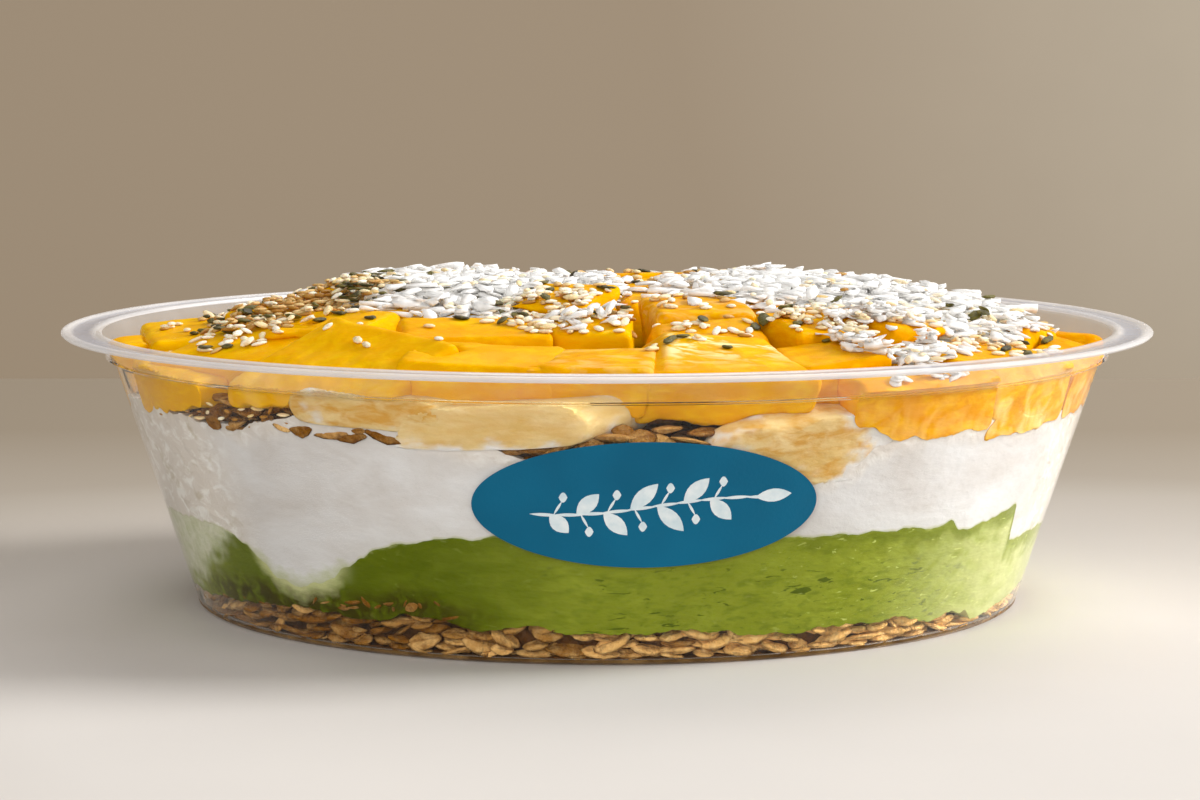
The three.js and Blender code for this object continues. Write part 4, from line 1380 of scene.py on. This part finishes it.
def toppings(body, fruit_pieces):
    chance = random.Random(23)
    oats, shreds = oat_shapes(), shred_shapes()
    seeds = pebble_shapes("seed", 5, 1.2, 0.2, [(2.5, 1.3, 0.65), (2.1, 1.25, 0.6), (2.8, 1.25, 0.65)])
    hulls = pebble_shapes("hull", 4, 1.1, 0.6, [(2.9, 1.9, 0.55), (2.0, 1.6, 0.5), (3.5, 1.7, 0.5)])
    oat, white = oat_flake(), coconut_white()
    ready(lower_granola(chance, oats).made("toast"), oat, "granola")
    ready(upper_granola(chance, oats, body, fruit_pieces).made("toast"), oat, "granola")
    cores = [coconut_core(node, white) for node in ("coconut_left", "coconut_right")]

    roof = Ground([o for name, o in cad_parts.items() if name.startswith(("mango", "banana", "coconut"))])
    ground = Ground([*body.values(), *fruit_pieces, *cores], roof)
    hearts, dark = Scatter("hemp_hearts", seeds), Scatter("dark_seed_bits", hulls)
    sides = {side: Scatter("coconut_shreds_" + side, shreds) for side in ("left", "right")}
    right = sides["right"]

    def seeded(zone, pale, golden, darker, over):
        for heap, count, tones in ((hearts, golden, (0.75, 1)), (hearts, pale, (0, 0.6)), (dark, darker, (0, 1))):
            sprinkle(ground, heap, chance, zone, count, over=over, even=zone[2] > 60, tones=tones)

    for zone in SEED_ZONES:
        seeded(*zone, over=2.0)
    for side, zone, count, even in SHRED_ZONES:
        sprinkle(ground, sides[side], chance, zone, count, sizes=(0.8, 1.25), sink=0.35, steepest=0.3,
                 over=0.5 if even else 1.5, even=even, loose=0.05 if even else 0.25)
    for zone, count in SPILLS:
        sprinkle(ground, right, chance, zone, count, sizes=(0.55, 0.9), sink=0.3, over=3.2)
        sprinkle(ground, hearts, chance, zone, count // 2, over=3.2, tones=(0, 0.5))
        sprinkle(ground, dark, chance, zone, count // 30, over=3.2)
    against_wall(right, chance, (31, 41), lambda a: (43.4, 45.0), 14, 0.6, press=0, depth=0.5, sizes=(0.5, 0.8))
    against_wall(hearts, chance, (-62, -36), lambda a: (WHITE_TOP(a) - 0.8, WHITE_TOP(a) + 3.5), 30, 1.4, press=0.4,
                 depth=0.5, astray=0.5, sizes=(0.5, 0.9), toast=lambda a: chance.uniform(0.5, 1))
    for zone in LATE_SEED_ZONES:
        seeded(*zone, over=1.5)
    for heap, finish, slot in ((sides["left"], white, "coconut"), (right, white, "coconut"),
                               (hearts, hemp_heart(), "seeds"), (dark, seed_hull(), "seeds")):
        ready(heap.made(), finish, slot)


# where toppings lie: middle x and y, half length and half width of an oval zone, then how many
SEED_ZONES = [((-50, -10, 17, 26), 320, 700, 380), ((-56, -30, 14, 16), 90, 60, 34),
              ((-6, -40, 16, 18), 300, 60, 50), ((30, -50, 24, 12), 100, 10, 16), ((62, -24, 14, 26), 90, 16, 16),
              ((0, 34, 66, 34), 420, 200, 90), ((0, 4, 78, 76), 240, 60, 50)]
SHRED_ZONES = [("left", (-19, -10, 22, 39), 1700, True), ("left", (-19, -10, 25, 42), 520, False),
               ("right", (40, -10, 34, 37), 2200, True), ("right", (40, -8, 37, 42), 620, False),
               ("right", (46, -44, 12, 18), 300, False), ("left", (8, -6, 14, 26), 240, False),
               ("left", (-44, 10, 14, 18), 420, False), ("right", (8, 30, 60, 26), 220, False),
               ("right", (18, -60, 12, 10), 24, False)]
SPILLS = [((43, -54, 9, 12), 420), ((-2, -50, 9, 12), 24)]
LATE_SEED_ZONES = [((-20, -14, 22, 34), 60, 10, 8), ((38, -14, 34, 34), 60, 10, 7), ((44, -46, 15, 16), 50, 0, 6),
                   ((-46, -16, 14, 14), 90, 120, 50)]
IN_YOGURT = [(-47, 35.4, 3), (-37, 36.2, 2), (-29, 36.6, 3), (-25.5, 36.3, 2)]  # flakes: azimuth, height, how many
FLOOR_FLAKES, FLOOR_REACH = 460, 66  # the floor of flakes: how many, and how far from the middle
RING_FLAKES, RING_FLAKE_RADII = 620, (40, 79)  # the ring of flakes on the yogurt: how many, and between which radii


# ------------------------------------------------------------------ putting it together
bowl()
body = layers()
fruit_pieces = fruit()
sticker()
sprig()
toppings(body, fruit_pieces)


# ------------------------------------------------------------------ camera, floor and light
FLOOR_SIZE, FLOOR_FAR, BACKDROP = 6, 0.36, 2.4  # in metres: the floor, its far edge, and the backdrop behind it


def camera():
    bpy.ops.object.camera_add(location=(0, -0.5925, 0.09786), rotation=(math.radians(90 - 6.22), 0, 0))
    view = bpy.context.object
    view.data.sensor_width = 36
    view.data.lens = 104.1
    view.data.shift_x = -0.0059
    view.data.clip_start, view.data.clip_end = 0.01, 50
    bpy.context.scene.camera = view


def stage_paint_with_light_pool(name, middle, reach, near, far):
    """A matt paint that is one colour round a place, and turns to another away from it: a painted pool of light."""
    f = Finish(name, Roughness=0.75)
    away = f.vector("DISTANCE", f.place, middle)["Value"]
    light = f.mottle(near, tuple(v * 0.96 for v in near), 0.01, 0.3, 0.7, detail=3.0)
    f.colour(f.blend(f.between(away, *reach), light, far))
    return f


def studio():
    deselect()
    bpy.ops.mesh.primitive_plane_add(size=FLOOR_SIZE, location=(0, FLOOR_FAR - FLOOR_SIZE / 2, 0))
    floor = settle(named("floor"))
    # Pale round the bowl: a painted pool of light; further back the floor turns taupe.
    paint = stage_paint_with_light_pool("floor_paint_light_pool", (0.02, -0.1, 0), (0.1, 0.27), linear(208, 203, 198), linear(158, 148, 135))
    ground = paint.shader.inputs["Base Color"].links[0].from_socket
    depth = paint.add("ShaderNodeSeparateXYZ", {"Vector": paint.place}).outputs["Y"]
    paint.colour(paint.blend(paint.between(depth, 0.12, 0.24), ground, linear(138, 125, 107)))
    floor.data.materials.append(paint.material)
    bpy.ops.mesh.primitive_plane_add(size=8, location=(0, BACKDROP, 0), rotation=(math.pi / 2, 0, 0))
    back = settle(named("backdrop"))
    # Lighter towards the right: a painted pool of light.
    paint = stage_paint_with_light_pool("backdrop_paint_light_pool", (1.0, BACKDROP, 0.2), (0.45, 0.95), linear(226, 212, 190),
                         linear(192, 172, 147))
    back.data.materials.append(paint.material)

    def lamp(name, place, size, power, colour, seen=True):
        bpy.ops.object.light_add(type="AREA", location=place)
        light = bpy.context.object
        light.name = name
        light.data.size = size
        light.data.energy = power
        light.data.color = colour
        light.rotation_euler = (Vector((0, 0, 0.03)) - Vector(place)).to_track_quat("-Z", "Y").to_euler()
        light.visible_camera = seen

    lamp("key", (1.5, 0.17, 0.88), 0.7, 37, (1.0, 0.995, 0.985))
    lamp("front_fill", (-0.3, -1.3, 0.7), 1.6, 13, (1.0, 0.985, 0.965))
    lamp("back_light", (0.2, 0.9, 1.1), 0.8, 6.0, (1.0, 0.995, 0.985), seen=False)
    world = bpy.data.worlds.new("studio")
    bpy.context.scene.world = world
    world.use_nodes = True
    world.node_tree.nodes["Background"].inputs["Color"].default_value = (0.9, 0.88, 0.85, 1)
    world.node_tree.nodes["Background"].inputs["Strength"].default_value = 0.42
    bpy.context.scene.view_settings.view_transform = "Standard"


camera()
studio()
